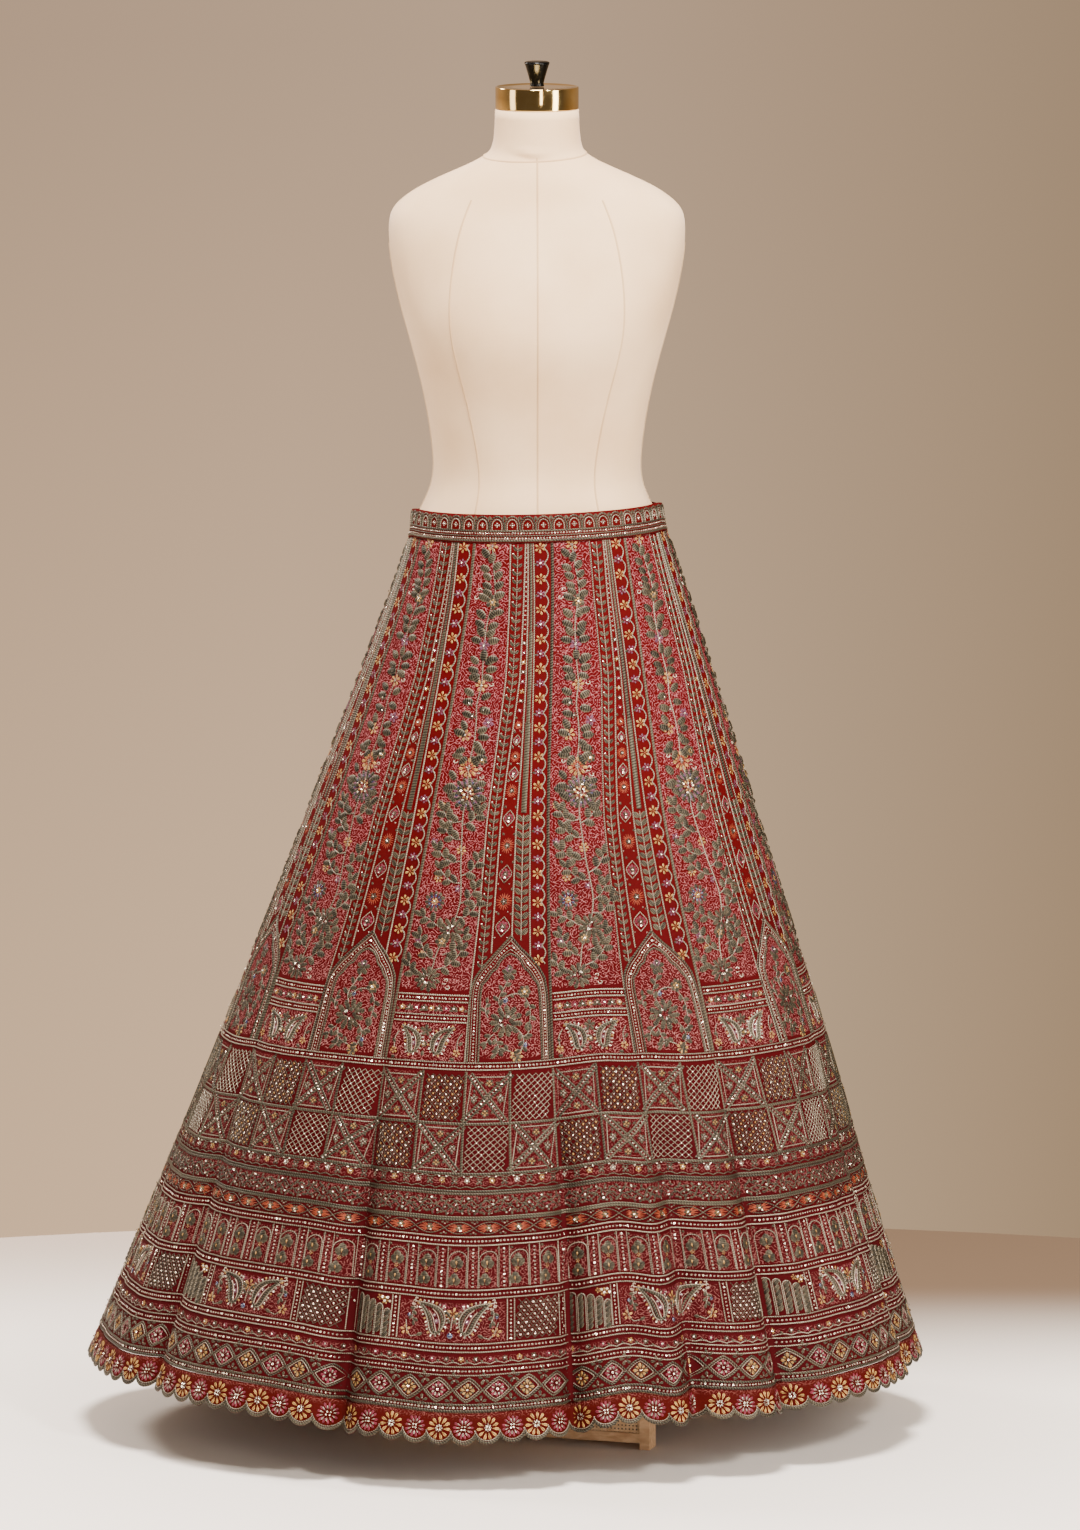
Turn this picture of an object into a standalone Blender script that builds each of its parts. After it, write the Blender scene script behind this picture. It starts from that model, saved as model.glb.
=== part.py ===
"""A flared lehenga skirt of ten gores on a tailor's dress form, which stands on a low cane-sided base.

Metres, +Z up, seen from -Y. Everything is modelled round the dress form's upright axis, and then
moved so that the origin is the middle of the whole part's box, on the floor.
"""

import math
from collections import namedtuple

import bmesh
import bpy
from mathutils import Matrix, Vector

# The cloth
GORES = 10
WALL = 0.0024
BAND_EXTRA = 0.0008
GAP = 0.0003
BAND_HEIGHT = 0.033
TRIM_TOP = 1.016
HEM = 1.050
SCALLOPS = 10
SCALLOP_DEPTH = 0.009
SCALLOP_ROUNDNESS = 0.93
GORE_COLUMNS = 20
SEGMENTS_PER_SCALLOP = 4
BAND_COLUMNS = 72

# A row for each level of the skirt. "along" runs down the cloth from the waistband's seam, and the
# depths are in front of and behind the form's axis. "drop" is how much lower the cloth hangs at the
# front and back than at the sides, "turn" how far in degrees the seams have swung round, "evening"
# how much narrower the gores look from the front than their angle, and "tilt" the rise towards +X.
Section = namedtuple("Section", "name along height half_width front back centre_x drop turn evening tilt")
SECTIONS = (
    Section("band top", -0.033, 1.0955, 0.1450, 0.109, 0.115, 0.000, 0.000, 6.4, 0.010, 0.025),
    Section("waist", 0.000, 1.0630, 0.1505, 0.114, 0.120, 0.001, 0.000, 6.4, 0.010, 0.025),
    Section("hip", 0.081, 0.9830, 0.1765, 0.132, 0.141, 0.001, 0.000, 6.0, 0.045, 0.018),
    Section("thigh", 0.333, 0.7450, 0.2585, 0.187, 0.203, -0.006, 0.000, 5.0, 0.080, 0.006),
    Section("knee", 0.631, 0.4670, 0.3550, 0.240, 0.276, -0.017, 0.001, 6.5, 0.050, 0.002),
    Section("calf", 0.828, 0.2850, 0.4160, 0.296, 0.330, -0.027, 0.006, 8.7, 0.040, -0.006),
    Section("trim", TRIM_TOP, 0.1110, 0.4775, 0.354, 0.390, -0.035, 0.013, 9.9, 0.046, -0.008),
    Section("hem", HEM, 0.0790, 0.4895, 0.366, 0.403, -0.037, 0.016, 10.2, 0.046, -0.004),
)

# A row for each large fold. "at" counts gores round from the seam just right of the front, and
# "width" is in gores. "depth" is outwards and "lower" downwards, both at the hem, and "top" is where
# the fold fades out, as "along".
Fold = namedtuple("Fold", "name at depth width top lower")
FOLDS = (
    Fold("left side seam", -2.00, -0.010, 0.13, 0.30, -0.003),
    Fold("left belly", -1.52, 0.004, 0.30, 0.45, -0.003),
    Fold("left seam", -1.00, -0.016, 0.10, 0.48, 0.006),
    Fold("front belly", -0.50, 0.012, 0.42, 0.42, 0.009),
    Fold("front seam", 0.02, -0.017, 0.09, 0.45, 0.006),
    Fold("right hollow", 0.35, -0.010, 0.36, 0.00, -0.010),
    Fold("right ridge", 0.43, 0.019, 0.10, 0.46, 0.005),
    Fold("right crease", 0.56, -0.012, 0.07, 0.50, 0.000),
    Fold("right belly", 0.78, 0.008, 0.15, 0.45, 0.000),
    Fold("right seam", 1.01, -0.017, 0.10, 0.45, 0.002),
    Fold("right roll", 1.45, 0.008, 0.22, 0.20, -0.003),
    Fold("right side seam", 2.00, -0.012, 0.14, 0.42, 0.000),
    Fold("right side roll", 2.50, 0.009, 0.22, 0.36, 0.000),
    Fold("back right seam", 3.02, -0.017, 0.14, 0.44, 0.000),
    Fold("back right roll", 3.50, 0.012, 0.24, 0.30, 0.002),
    Fold("back right crease", 3.96, -0.015, 0.10, 0.46, 0.000),
    Fold("back roll", 4.48, 0.013, 0.26, 0.32, 0.005),
    Fold("back seam", 5.03, -0.018, 0.13, 0.40, 0.000),
    Fold("back left ridge", 5.42, 0.011, 0.12, 0.48, 0.000),
    Fold("back left crease", 5.60, -0.012, 0.09, 0.50, 0.000),
    Fold("back left roll", 5.86, 0.008, 0.15, 0.40, 0.002),
    Fold("back left seam", 6.50, -0.015, 0.14, 0.44, 0.000),
    Fold("left back roll", 7.05, 0.006, 0.22, 0.36, 0.000),
)

# Where a gore's rows of points lie, as "along"
GORE_ROWS = (0.0, 0.08, 0.20, 0.34, 0.48, 0.62, 0.76, 0.89, TRIM_TOP)

# The dress form. A row for each level of the covered torso, whose corners square off above 2.
Ring = namedtuple("Ring", "name height half_width front back squareness")
TORSO = (
    Ring("underside", 0.8000, 0.1340, 0.087, 0.092, 2.0),
    Ring("bottom edge", 0.8050, 0.1490, 0.099, 0.105, 2.0),
    Ring("low hip", 0.8200, 0.1620, 0.108, 0.115, 2.0),
    Ring("hip", 0.8800, 0.1735, 0.115, 0.125, 2.0),
    Ring("high hip", 0.9500, 0.1710, 0.115, 0.125, 2.0),
    Ring("belly", 1.0150, 0.1565, 0.1135, 0.1205, 2.0),
    Ring("under band", 1.0600, 0.1464, 0.1108, 0.1168, 2.0),
    Ring("in band", 1.0780, 0.1415, 0.1060, 0.1120, 2.0),
    Ring("over band", 1.0960, 0.1328, 0.1000, 0.1050, 2.0),
    Ring("waist curve", 1.1140, 0.1243, 0.0940, 0.0980, 2.0),
    Ring("waist", 1.1350, 0.1197, 0.0900, 0.0930, 2.0),
    Ring("above waist", 1.1700, 0.1225, 0.0935, 0.0930, 2.05),
    Ring("ribs", 1.2170, 0.1300, 0.104, 0.096, 2.1),
    Ring("under bust", 1.2550, 0.1390, 0.115, 0.099, 2.15),
    Ring("bust", 1.2950, 0.1500, 0.124, 0.102, 2.2),
    Ring("over bust", 1.3350, 0.1615, 0.117, 0.106, 2.25),
    Ring("chest", 1.3850, 0.1715, 0.100, 0.106, 2.3),
    Ring("armhole", 1.4200, 0.1735, 0.086, 0.101, 2.35),
    Ring("shoulder point", 1.4370, 0.1705, 0.078, 0.095, 2.35),
    Ring("shoulder round", 1.4490, 0.1610, 0.073, 0.090, 2.3),
    Ring("shoulder slope", 1.4640, 0.1400, 0.067, 0.082, 2.25),
    Ring("shoulder", 1.4780, 0.1100, 0.062, 0.073, 2.15),
    Ring("neck slope", 1.4920, 0.0770, 0.0555, 0.062, 2.05),
    Ring("neck root", 1.5030, 0.0570, 0.0510, 0.053, 2.0),
    Ring("neck", 1.5140, 0.0500, 0.0490, 0.0495, 2.0),
    Ring("neck top", 1.5555, 0.0487, 0.0487, 0.0487, 2.0),
)
TORSO_COLUMNS = 40
CAP_RADIUS = 0.0484
CAP_HEIGHT = 0.0255
CAP_EDGE = 0.0010
KNOB_FOOT_RADIUS = 0.0078
KNOB_TOP_RADIUS = 0.0147
KNOB_HEIGHT = 0.0260
KNOB_DOME = 0.0035
POLE_RADIUS = 0.0160

# The base that the pole stands on, turned so that its right end comes forward
BASE_WIDTH = 0.340
BASE_DEPTH = 0.215
BASE_TURN = -17.0
BASE_HEIGHT = 0.090
BOARD = 0.015
POST_WIDTH = 0.012
POST_DEPTH = 0.026
RAIL_LOW = 0.0075
RAIL_HIGH = 0.0190
RAIL_THICK = 0.010
APRON = 0.022
CANE = 0.003
RECESS = 0.001
CANE_RECESS = 0.003

# Colours, roughness and metallic values of the materials
Finish = namedtuple("Finish", "name colour roughness metallic")
RED_CLOTH = Finish("red embroidered silk", (0.36, 0.025, 0.02), 0.65, 0.0)
TRIM_CLOTH = Finish("orange-red trim silk", (0.50, 0.050, 0.02), 0.6, 0.0)
LINEN = Finish("cream form linen", (0.80, 0.70, 0.58), 0.85, 0.0)
BRASS = Finish("polished brass", (0.78, 0.55, 0.20), 0.18, 1.0)
BLACK = Finish("black lacquered wood", (0.012, 0.012, 0.014), 0.25, 0.0)
STEEL = Finish("painted steel tube", (0.10, 0.10, 0.11), 0.45, 0.6)
PALE_WOOD = Finish("pale teak", (0.52, 0.36, 0.22), 0.6, 0.0)
CANE_WEAVE = Finish("woven cane", (0.62, 0.47, 0.30), 0.7, 0.0)


def clear_scene():
    """Removes what the startup scene holds."""
    for thing in list(bpy.data.objects):
        bpy.data.objects.remove(thing)


def material(finish):
    """The Principled material of this finish, made once."""
    found = bpy.data.materials.get(finish.name)
    if found:
        return found
    made = bpy.data.materials.new(finish.name)
    made.use_nodes = True
    shader = made.node_tree.nodes["Principled BSDF"]
    shader.inputs["Base Color"].default_value = (*finish.colour, 1.0)
    shader.inputs["Roughness"].default_value = finish.roughness
    shader.inputs["Metallic"].default_value = finish.metallic
    return made


def finish_object(name, bm, finish, smooth=True):
    """Turns a bmesh into an object of that name and finish."""
    bmesh.ops.recalc_face_normals(bm, faces=bm.faces)
    mesh = bpy.data.meshes.new(name)
    bm.to_mesh(mesh)
    bm.free()
    if smooth:
        mesh.shade_smooth()
        mesh.set_sharp_from_angle(angle=math.radians(40))
    mesh.materials.append(material(finish))
    thing = bpy.data.objects.new(name, mesh)
    bpy.context.scene.collection.objects.link(thing)
    return thing


def eased(rows, key, where, column):
    """A smooth curve through one column of a table, read at "where" on the column "key"."""
    last = len(rows) - 1
    here = 0
    while here < last - 1 and getattr(rows[here + 1], key) < where:
        here += 1
    spots = [getattr(row, key) for row in rows]
    values = [getattr(row, column) for row in rows]

    def slope(i):
        low, high = max(i - 1, 0), min(i + 1, last)
        return (values[high] - values[low]) / (spots[high] - spots[low])

    span = spots[here + 1] - spots[here]
    s = min(max((where - spots[here]) / span, 0.0), 1.0)
    return (
        values[here] * (2 * s**3 - 3 * s**2 + 1)
        + slope(here) * span * (s**3 - 2 * s**2 + s)
        + values[here + 1] * (3 * s**2 - 2 * s**3)
        + slope(here + 1) * span * (s**3 - s**2)
    )


def folds(gore, along):
    """How far all the folds together push the cloth outwards and downwards here."""
    outwards, downwards = 0.0, 0.0
    for fold in FOLDS:
        reach = (along - fold.top) / (HEM - fold.top)
        if reach <= 0:
            continue
        away = (gore - fold.at + GORES / 2) % GORES - GORES / 2
        share = reach * reach * (3 - 2 * reach) * math.exp(-((away / fold.width) ** 2))
        outwards += fold.depth * share
        downwards += fold.lower * share
    return outwards, downwards


def cloth(gore, along):
    """The point of the cloth's outer face that many gores round and that far down."""
    row = {name: eased(SECTIONS, "along", along, name) for name in Section._fields[2:]}
    turned = math.radians(360 / GORES * gore + row["turn"])
    bearing = turned - row["evening"] * math.sin(2 * turned)
    depth = row["front"] if math.cos(bearing) > 0 else row["back"]
    outwards, downwards = folds(gore, along)
    x = (row["half_width"] + outwards) * math.sin(bearing)
    y = -(depth + outwards) * math.cos(bearing)
    z = row["height"] - row["drop"] * math.cos(bearing) ** 2 + row["tilt"] * x - downwards
    return Vector((row["centre_x"] + x, y, z))


def face(gore, along):
    """The cloth's outer point there, and its outward direction."""
    step_round, step_down = 0.004, 0.0015
    round_it = cloth(gore + step_round, along) - cloth(gore - step_round, along)
    down_it = cloth(gore, along + step_down) - cloth(gore, along - step_down)
    return cloth(gore, along), down_it.cross(round_it).normalized()


def panel_face(number, share, along):
    """The same at a share of the way across one panel, whose edges keep clear of its neighbours'."""
    margin = GAP / 2 / (cloth(number + 1, along) - cloth(number, along)).length
    return face(number + margin + (1 - 2 * margin) * share, along)


def halfway(one, other):
    """The middle of two outer points, and of their directions."""
    return (one[0] + other[0]) / 2, (one[1] + other[1]) / 2


def wall(name, columns, finish, thickness, proud=0.0, closed=False):
    """A cloth wall through columns of outer points and their outward directions, top to bottom."""
    bm = bmesh.new()
    outer, inner = [], []
    for column in columns:
        outer.append([bm.verts.new(point + outward * proud) for point, outward in column])
        inner.append([bm.verts.new(point + outward * (proud - thickness)) for point, outward in column])
    count, rows = len(columns), len(columns[0])
    for i in range(count if closed else count - 1):
        j = (i + 1) % count
        for k in range(rows - 1):
            bm.faces.new((outer[i][k], outer[i][k + 1], outer[j][k + 1], outer[j][k]))
            bm.faces.new((inner[i][k], inner[j][k], inner[j][k + 1], inner[i][k + 1]))
        for k in (0, rows - 1):
            bm.faces.new((outer[i][k], outer[j][k], inner[j][k], inner[i][k]))
    for end in () if closed else (0, count - 1):
        for k in range(rows - 1):
            bm.faces.new((outer[end][k], outer[end][k + 1], inner[end][k + 1], inner[end][k]))
    return finish_object(name, bm, finish)


def make_waistband():
    """The band, a ring a little thicker than the gores under it."""
    columns = [
        [face(GORES * i / BAND_COLUMNS, along) for along in (-BAND_HEIGHT, -BAND_HEIGHT / 2, -GAP)]
        for i in range(BAND_COLUMNS)
    ]
    wall("waistband", columns, RED_CLOTH, WALL + BAND_EXTRA, BAND_EXTRA, closed=True)


def make_gore(number):
    """One flared gore, from the band to the scalloped trim."""
    shares = [i / GORE_COLUMNS for i in range(GORE_COLUMNS + 1)]
    columns = [[panel_face(number, share, along) for along in GORE_ROWS] for share in shares]
    wall(f"gore_{number + 1}", columns, RED_CLOTH, WALL)


def scallop_edge(place):
    """How far down the hem reaches at this place, counted in scallops."""
    off_middle = place % 1.0 * 2 - 1
    full_drop = 1 - math.sqrt(1 - SCALLOP_ROUNDNESS**2)
    return HEM - SCALLOP_DEPTH * (1 - math.sqrt(1 - (SCALLOP_ROUNDNESS * off_middle) ** 2)) / full_drop


def make_trim(number):
    """The strip of scalloped trim under one gore. Its top edge is as faceted as the gore above it."""
    steps = SCALLOPS * SEGMENTS_PER_SCALLOP
    per_column = steps // GORE_COLUMNS
    columns = []
    for i in range(steps + 1):
        low = i // per_column * per_column / steps
        high = min(low + per_column / steps, 1.0)
        top = panel_face(number, low, TRIM_TOP + GAP)
        if i % per_column:
            top = halfway(top, panel_face(number, high, TRIM_TOP + GAP))
        columns.append([top, panel_face(number, i / steps, scallop_edge(i / SEGMENTS_PER_SCALLOP))])
    wall(f"hem_trim_{number + 1}", columns, TRIM_CLOTH, WALL)


def ring_points(ring, columns):
    """The points round one level of the form, as a squared-off ellipse."""
    points = []
    for i in range(columns):
        angle = math.tau * i / columns
        across, ahead = math.sin(angle), -math.cos(angle)
        power = 2 / ring.squareness
        x = ring.half_width * math.copysign(abs(across) ** power, across)
        depth = ring.front if ahead < 0 else ring.back
        points.append(Vector((x, depth * math.copysign(abs(ahead) ** power, ahead), ring.height)))
    return points


def loft(name, rings, finish):
    """A closed solid through rings of points, with flat ends."""
    bm = bmesh.new()
    loops = [[bm.verts.new(point) for point in ring] for ring in rings]
    for low, high in zip(loops, loops[1:]):
        for i in range(len(low)):
            j = (i + 1) % len(low)
            bm.faces.new((low[i], low[j], high[j], high[i]))
    bm.faces.new(loops[0])
    bm.faces.new(loops[-1])
    return finish_object(name, bm, finish)


def lathe(name, profile, finish, columns):
    """A solid turned round the form's axis, from (radius, height) points."""
    rings = [Ring("turned", height, radius, radius, radius, 2.0) for radius, height in profile]
    return loft(name, [ring_points(ring, columns) for ring in rings], finish)


def make_form():
    """The torso with its neck, the brass cap, the knob and the pole."""
    loft("form_torso", [ring_points(ring, TORSO_COLUMNS) for ring in TORSO], LINEN)
    cap_low = TORSO[-1].height + GAP
    cap_high = cap_low + CAP_HEIGHT
    cap = [(CAP_RADIUS, cap_low), (CAP_RADIUS, cap_high - CAP_EDGE), (CAP_RADIUS - CAP_EDGE, cap_high)]
    lathe("form_cap", cap, BRASS, 48)
    foot = cap_high + GAP
    top = foot + KNOB_HEIGHT
    knob = [
        (KNOB_FOOT_RADIUS, foot),
        (KNOB_FOOT_RADIUS, foot + KNOB_HEIGHT * 0.06),
        (KNOB_TOP_RADIUS * 0.98, top - KNOB_HEIGHT * 0.12),
        (KNOB_TOP_RADIUS, top),
        (KNOB_TOP_RADIUS * 0.85, top + KNOB_DOME * 0.6),
        (KNOB_TOP_RADIUS * 0.45, top + KNOB_DOME),
    ]
    lathe("form_knob", knob, BLACK, 24)
    pole = [(POLE_RADIUS, BASE_HEIGHT + GAP), (POLE_RADIUS, TORSO[0].height - GAP)]
    lathe("form_pole", pole, STEEL, 24)


def block(name, low, high, finish):
    """A straight-edged block between two corners of the base, before the base is turned."""
    bm = bmesh.new()
    bmesh.ops.create_cube(bm, size=1.0)
    middle, size = (Vector(low) + Vector(high)) / 2, Vector(high) - Vector(low)
    bmesh.ops.scale(bm, vec=size, verts=bm.verts)
    bmesh.ops.translate(bm, vec=middle, verts=bm.verts)
    bmesh.ops.rotate(bm, matrix=Matrix.Rotation(math.radians(BASE_TURN), 3, "Z"), verts=bm.verts)
    return finish_object(name, bm, finish, smooth=False)


def make_base():
    """The low base: a board on four posts, cane panels over a rail front and back, and end aprons."""
    half_width, half_depth, under = BASE_WIDTH / 2, BASE_DEPTH / 2, BASE_HEIGHT - BOARD
    block("base_board", (-half_width, -half_depth, under), (half_width, half_depth, BASE_HEIGHT), PALE_WOOD)
    for number, (side, end) in enumerate(((-1, -1), (1, -1), (1, 1), (-1, 1)), 1):
        xs = sorted((side * (half_width - POST_WIDTH), side * half_width))
        ys = sorted((end * (half_depth - POST_DEPTH), end * half_depth))
        block(f"base_post_{number}", (xs[0], ys[0], 0.0), (xs[1], ys[1], under - GAP), PALE_WOOD)
    reach = half_width - POST_WIDTH - GAP
    for name, end in (("front", -1), ("back", 1)):
        ys = sorted((end * (half_depth - RECESS), end * (half_depth - RECESS - RAIL_THICK)))
        block(f"base_rail_{name}", (-reach, ys[0], RAIL_LOW), (reach, ys[1], RAIL_HIGH), PALE_WOOD)
        ys = sorted((end * (half_depth - CANE_RECESS), end * (half_depth - CANE_RECESS - CANE)))
        block(f"base_cane_{name}", (-reach, ys[0], RAIL_HIGH + GAP), (reach, ys[1], under - GAP), CANE_WEAVE)
    reach = half_depth - POST_DEPTH - GAP
    for name, side in (("left", -1), ("right", 1)):
        xs = sorted((side * (half_width - RECESS), side * (half_width - RECESS - RAIL_THICK)))
        block(f"base_apron_{name}", (xs[0], -reach, under - APRON), (xs[1], reach, under - GAP), PALE_WOOD)


def centre_on_origin():
    """Moves every piece so that the whole part's box is centred over the origin."""
    corners = [vert.co for thing in bpy.data.objects for vert in thing.data.vertices]
    middle = [(min(c[i] for c in corners) + max(c[i] for c in corners)) / 2 for i in range(2)]
    for thing in bpy.data.objects:
        for vert in thing.data.vertices:
            vert.co -= Vector((*middle, 0.0))


clear_scene()
make_waistband()
for each in range(GORES):
    make_gore(each)
    make_trim(each)
make_form()
make_base()
centre_on_origin()
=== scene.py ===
import math
from collections import namedtuple

import bmesh
import bpy
import numpy as np
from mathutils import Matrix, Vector
from mathutils.bvhtree import BVHTree


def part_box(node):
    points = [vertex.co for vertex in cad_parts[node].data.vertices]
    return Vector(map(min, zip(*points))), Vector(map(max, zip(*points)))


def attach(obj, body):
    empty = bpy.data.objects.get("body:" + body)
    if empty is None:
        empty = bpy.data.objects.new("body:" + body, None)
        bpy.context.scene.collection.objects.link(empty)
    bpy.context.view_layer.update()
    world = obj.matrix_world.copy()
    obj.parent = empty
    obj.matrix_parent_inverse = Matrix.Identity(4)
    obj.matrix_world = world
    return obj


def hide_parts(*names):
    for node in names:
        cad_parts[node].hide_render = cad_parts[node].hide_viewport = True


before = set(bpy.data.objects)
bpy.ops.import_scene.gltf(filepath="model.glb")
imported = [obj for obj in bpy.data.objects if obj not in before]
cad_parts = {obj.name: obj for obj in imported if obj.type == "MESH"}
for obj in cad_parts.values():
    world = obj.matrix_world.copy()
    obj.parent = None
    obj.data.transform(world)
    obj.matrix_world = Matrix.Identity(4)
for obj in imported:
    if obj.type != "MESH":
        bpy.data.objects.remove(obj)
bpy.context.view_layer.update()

MM = 0.001
pole_low, pole_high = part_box("form_pole")
AXIS = Vector(((pole_low.x + pole_high.x) / 2, (pole_low.y + pole_high.y) / 2, 0.0))
chance = np.random.default_rng(20)


def linear(hex_colour):
    """An sRGB hex colour as linear RGBA."""
    parts = [int(hex_colour[i : i + 2], 16) / 255 for i in (1, 3, 5)]
    return [p / 12.92 if p <= 0.04045 else ((p + 0.055) / 1.055) ** 2.4 for p in parts] + [1.0]


def clear_selection():
    bpy.ops.object.select_all(action="DESELECT")


def make_active(obj):
    clear_selection()
    obj.select_set(True)
    bpy.context.view_layer.objects.active = obj


def linked(name, data):
    """A new object of that data, in the scene."""
    obj = bpy.data.objects.new(name, data)
    bpy.context.collection.objects.link(obj)
    return obj


# The camera stands 12 m in front of the form's axis and looks a little down, as in the photograph
camera_data = bpy.data.cameras.new("camera")
camera_data.lens = 244.0
camera_data.sensor_width = 36.0
camera_data.clip_start, camera_data.clip_end = 0.5, 60.0
camera = linked("camera", camera_data)
camera.location = AXIS + Vector((0.0035, -12.0, 2.6))
looked_at = AXIS + Vector((0.0035, 0.0, 0.786))
camera.rotation_euler = (looked_at - camera.location).to_track_quat("-Z", "Y").to_euler()
bpy.context.scene.camera = camera


# The cloth's surface: that of the solids, with finer creases and a drop at the back of the waist

GORES = 10
BAND_EXTRA = 0.0008
BAND_TOP = -0.033
TRIM_TOP = 1.016
HEM = 1.050
SCALLOPS = 10
SCALLOP_DEPTH = 0.009
SCALLOP_ROUNDNESS = 0.93
# The back of the waist sits lower by the first, fading out at the second, down the cloth
BACK_SETTLES = 0.008
SETTLED_ABOVE = 0.12
SHELL = 0.0011

Section = namedtuple("Section", "name along height half_width front back centre_x drop turn evening tilt")
SECTIONS = (
    Section("band top", -0.033, 1.0955, 0.1450, 0.109, 0.115, 0.000, 0.000, 6.4, 0.010, 0.025),
    Section("waist", 0.000, 1.0630, 0.1505, 0.114, 0.120, 0.001, 0.000, 6.4, 0.010, 0.025),
    Section("hip", 0.081, 0.9830, 0.1765, 0.132, 0.141, 0.001, 0.000, 6.0, 0.045, 0.018),
    Section("thigh", 0.333, 0.7450, 0.2585, 0.187, 0.203, -0.006, 0.000, 5.0, 0.080, 0.006),
    Section("knee", 0.631, 0.4670, 0.3550, 0.240, 0.276, -0.017, 0.001, 6.5, 0.050, 0.002),
    Section("calf", 0.828, 0.2850, 0.4160, 0.296, 0.330, -0.027, 0.006, 8.7, 0.040, -0.006),
    Section("trim", TRIM_TOP, 0.1110, 0.4775, 0.354, 0.390, -0.035, 0.013, 9.9, 0.046, -0.008),
    Section("hem", HEM, 0.0790, 0.4895, 0.366, 0.403, -0.037, 0.016, 10.2, 0.046, -0.004),
)

Fold = namedtuple("Fold", "name at depth width top lower")
FOLDS = (
    Fold("left side seam", -2.00, -0.010, 0.13, 0.30, -0.003),
    Fold("left belly", -1.52, 0.004, 0.30, 0.45, -0.003),
    Fold("left seam", -1.00, -0.016, 0.10, 0.48, 0.006),
    Fold("front belly", -0.50, 0.012, 0.42, 0.42, 0.009),
    Fold("front seam", 0.02, -0.017, 0.09, 0.45, 0.006),
    Fold("right hollow", 0.35, -0.010, 0.36, 0.00, -0.010),
    Fold("right ridge", 0.43, 0.019, 0.10, 0.46, 0.005),
    Fold("right crease", 0.56, -0.012, 0.07, 0.50, 0.000),
    Fold("right belly", 0.78, 0.008, 0.15, 0.45, 0.000),
    Fold("right seam", 1.01, -0.017, 0.10, 0.45, 0.002),
    Fold("right roll", 1.45, 0.008, 0.22, 0.20, -0.003),
    Fold("right side seam", 2.00, -0.012, 0.14, 0.42, 0.000),
    Fold("right side roll", 2.50, 0.009, 0.22, 0.36, 0.000),
    Fold("back right seam", 3.02, -0.017, 0.14, 0.44, 0.000),
    Fold("back right roll", 3.50, 0.012, 0.24, 0.30, 0.002),
    Fold("back right crease", 3.96, -0.015, 0.10, 0.46, 0.000),
    Fold("back roll", 4.48, 0.013, 0.26, 0.32, 0.005),
    Fold("back seam", 5.03, -0.018, 0.13, 0.40, 0.000),
    Fold("back left ridge", 5.42, 0.011, 0.12, 0.48, 0.000),
    Fold("back left crease", 5.60, -0.012, 0.09, 0.50, 0.000),
    Fold("back left roll", 5.86, 0.008, 0.15, 0.40, 0.002),
    Fold("back left seam", 6.50, -0.015, 0.14, 0.44, 0.000),
    Fold("left back roll", 7.05, 0.006, 0.22, 0.36, 0.000),
)

# The finer creases and ripples that the cloth has on top of its large folds
Crease = namedtuple("Crease", "at depth width top bottom")
CREASES = (
    Crease(-2.00, -0.0063, 0.034, 0.50, 1.60),
    Crease(-1.00, -0.0115, 0.032, 0.44, 1.66),
    Crease(0.02, -0.0110, 0.030, 0.46, 1.64),
    Crease(0.56, -0.0054, 0.028, 0.60, 1.50),
    Crease(1.01, -0.0090, 0.032, 0.50, 1.60),
    Crease(2.00, -0.0040, 0.032, 0.48, 1.60),
    Crease(3.02, -0.0045, 0.032, 0.50, 1.60),
    Crease(3.96, -0.0040, 0.030, 0.50, 1.60),
    Crease(5.03, -0.0050, 0.030, 0.50, 1.60),
    Crease(6.50, -0.0045, 0.032, 0.50, 1.60),
    Crease(-1.78, -0.0022, 0.055, 0.30, 1.30),
    Crease(-1.30, -0.0018, 0.050, 0.55, 1.20),
    Crease(-1.12, 0.0040, 0.060, 0.50, 1.50),
    Crease(-0.86, 0.0022, 0.060, 0.55, 1.25),
    Crease(-0.70, -0.0016, 0.050, 0.62, 1.15),
    Crease(-0.28, -0.0020, 0.060, 0.58, 1.30),
    Crease(-0.13, 0.0022, 0.050, 0.50, 1.25),
    Crease(0.16, 0.0026, 0.055, 0.46, 1.20),
    Crease(0.68, -0.0018, 0.050, 0.60, 1.25),
    Crease(0.90, 0.0026, 0.050, 0.50, 1.30),
    Crease(1.17, 0.0026, 0.060, 0.48, 1.30),
    Crease(1.36, -0.0018, 0.050, 0.60, 1.20),
    Crease(1.68, -0.0022, 0.060, 0.40, 1.30),
    Crease(1.84, 0.0022, 0.060, 0.48, 1.25),
    Crease(2.22, -0.0018, 0.055, 0.55, 1.20),
    Crease(2.74, -0.0022, 0.060, 0.42, 1.30),
    Crease(3.26, 0.0020, 0.055, 0.58, 1.20),
    Crease(3.72, -0.0020, 0.060, 0.50, 1.25),
    Crease(4.20, 0.0024, 0.060, 0.45, 1.30),
    Crease(4.76, -0.0020, 0.055, 0.52, 1.20),
    Crease(5.22, 0.0022, 0.060, 0.48, 1.30),
    Crease(6.16, -0.0022, 0.060, 0.44, 1.25),
    Crease(6.78, 0.0018, 0.055, 0.55, 1.20),
    Crease(7.35, -0.0022, 0.060, 0.40, 1.30),
    Crease(7.72, 0.0020, 0.060, 0.50, 1.25),
)

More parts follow.
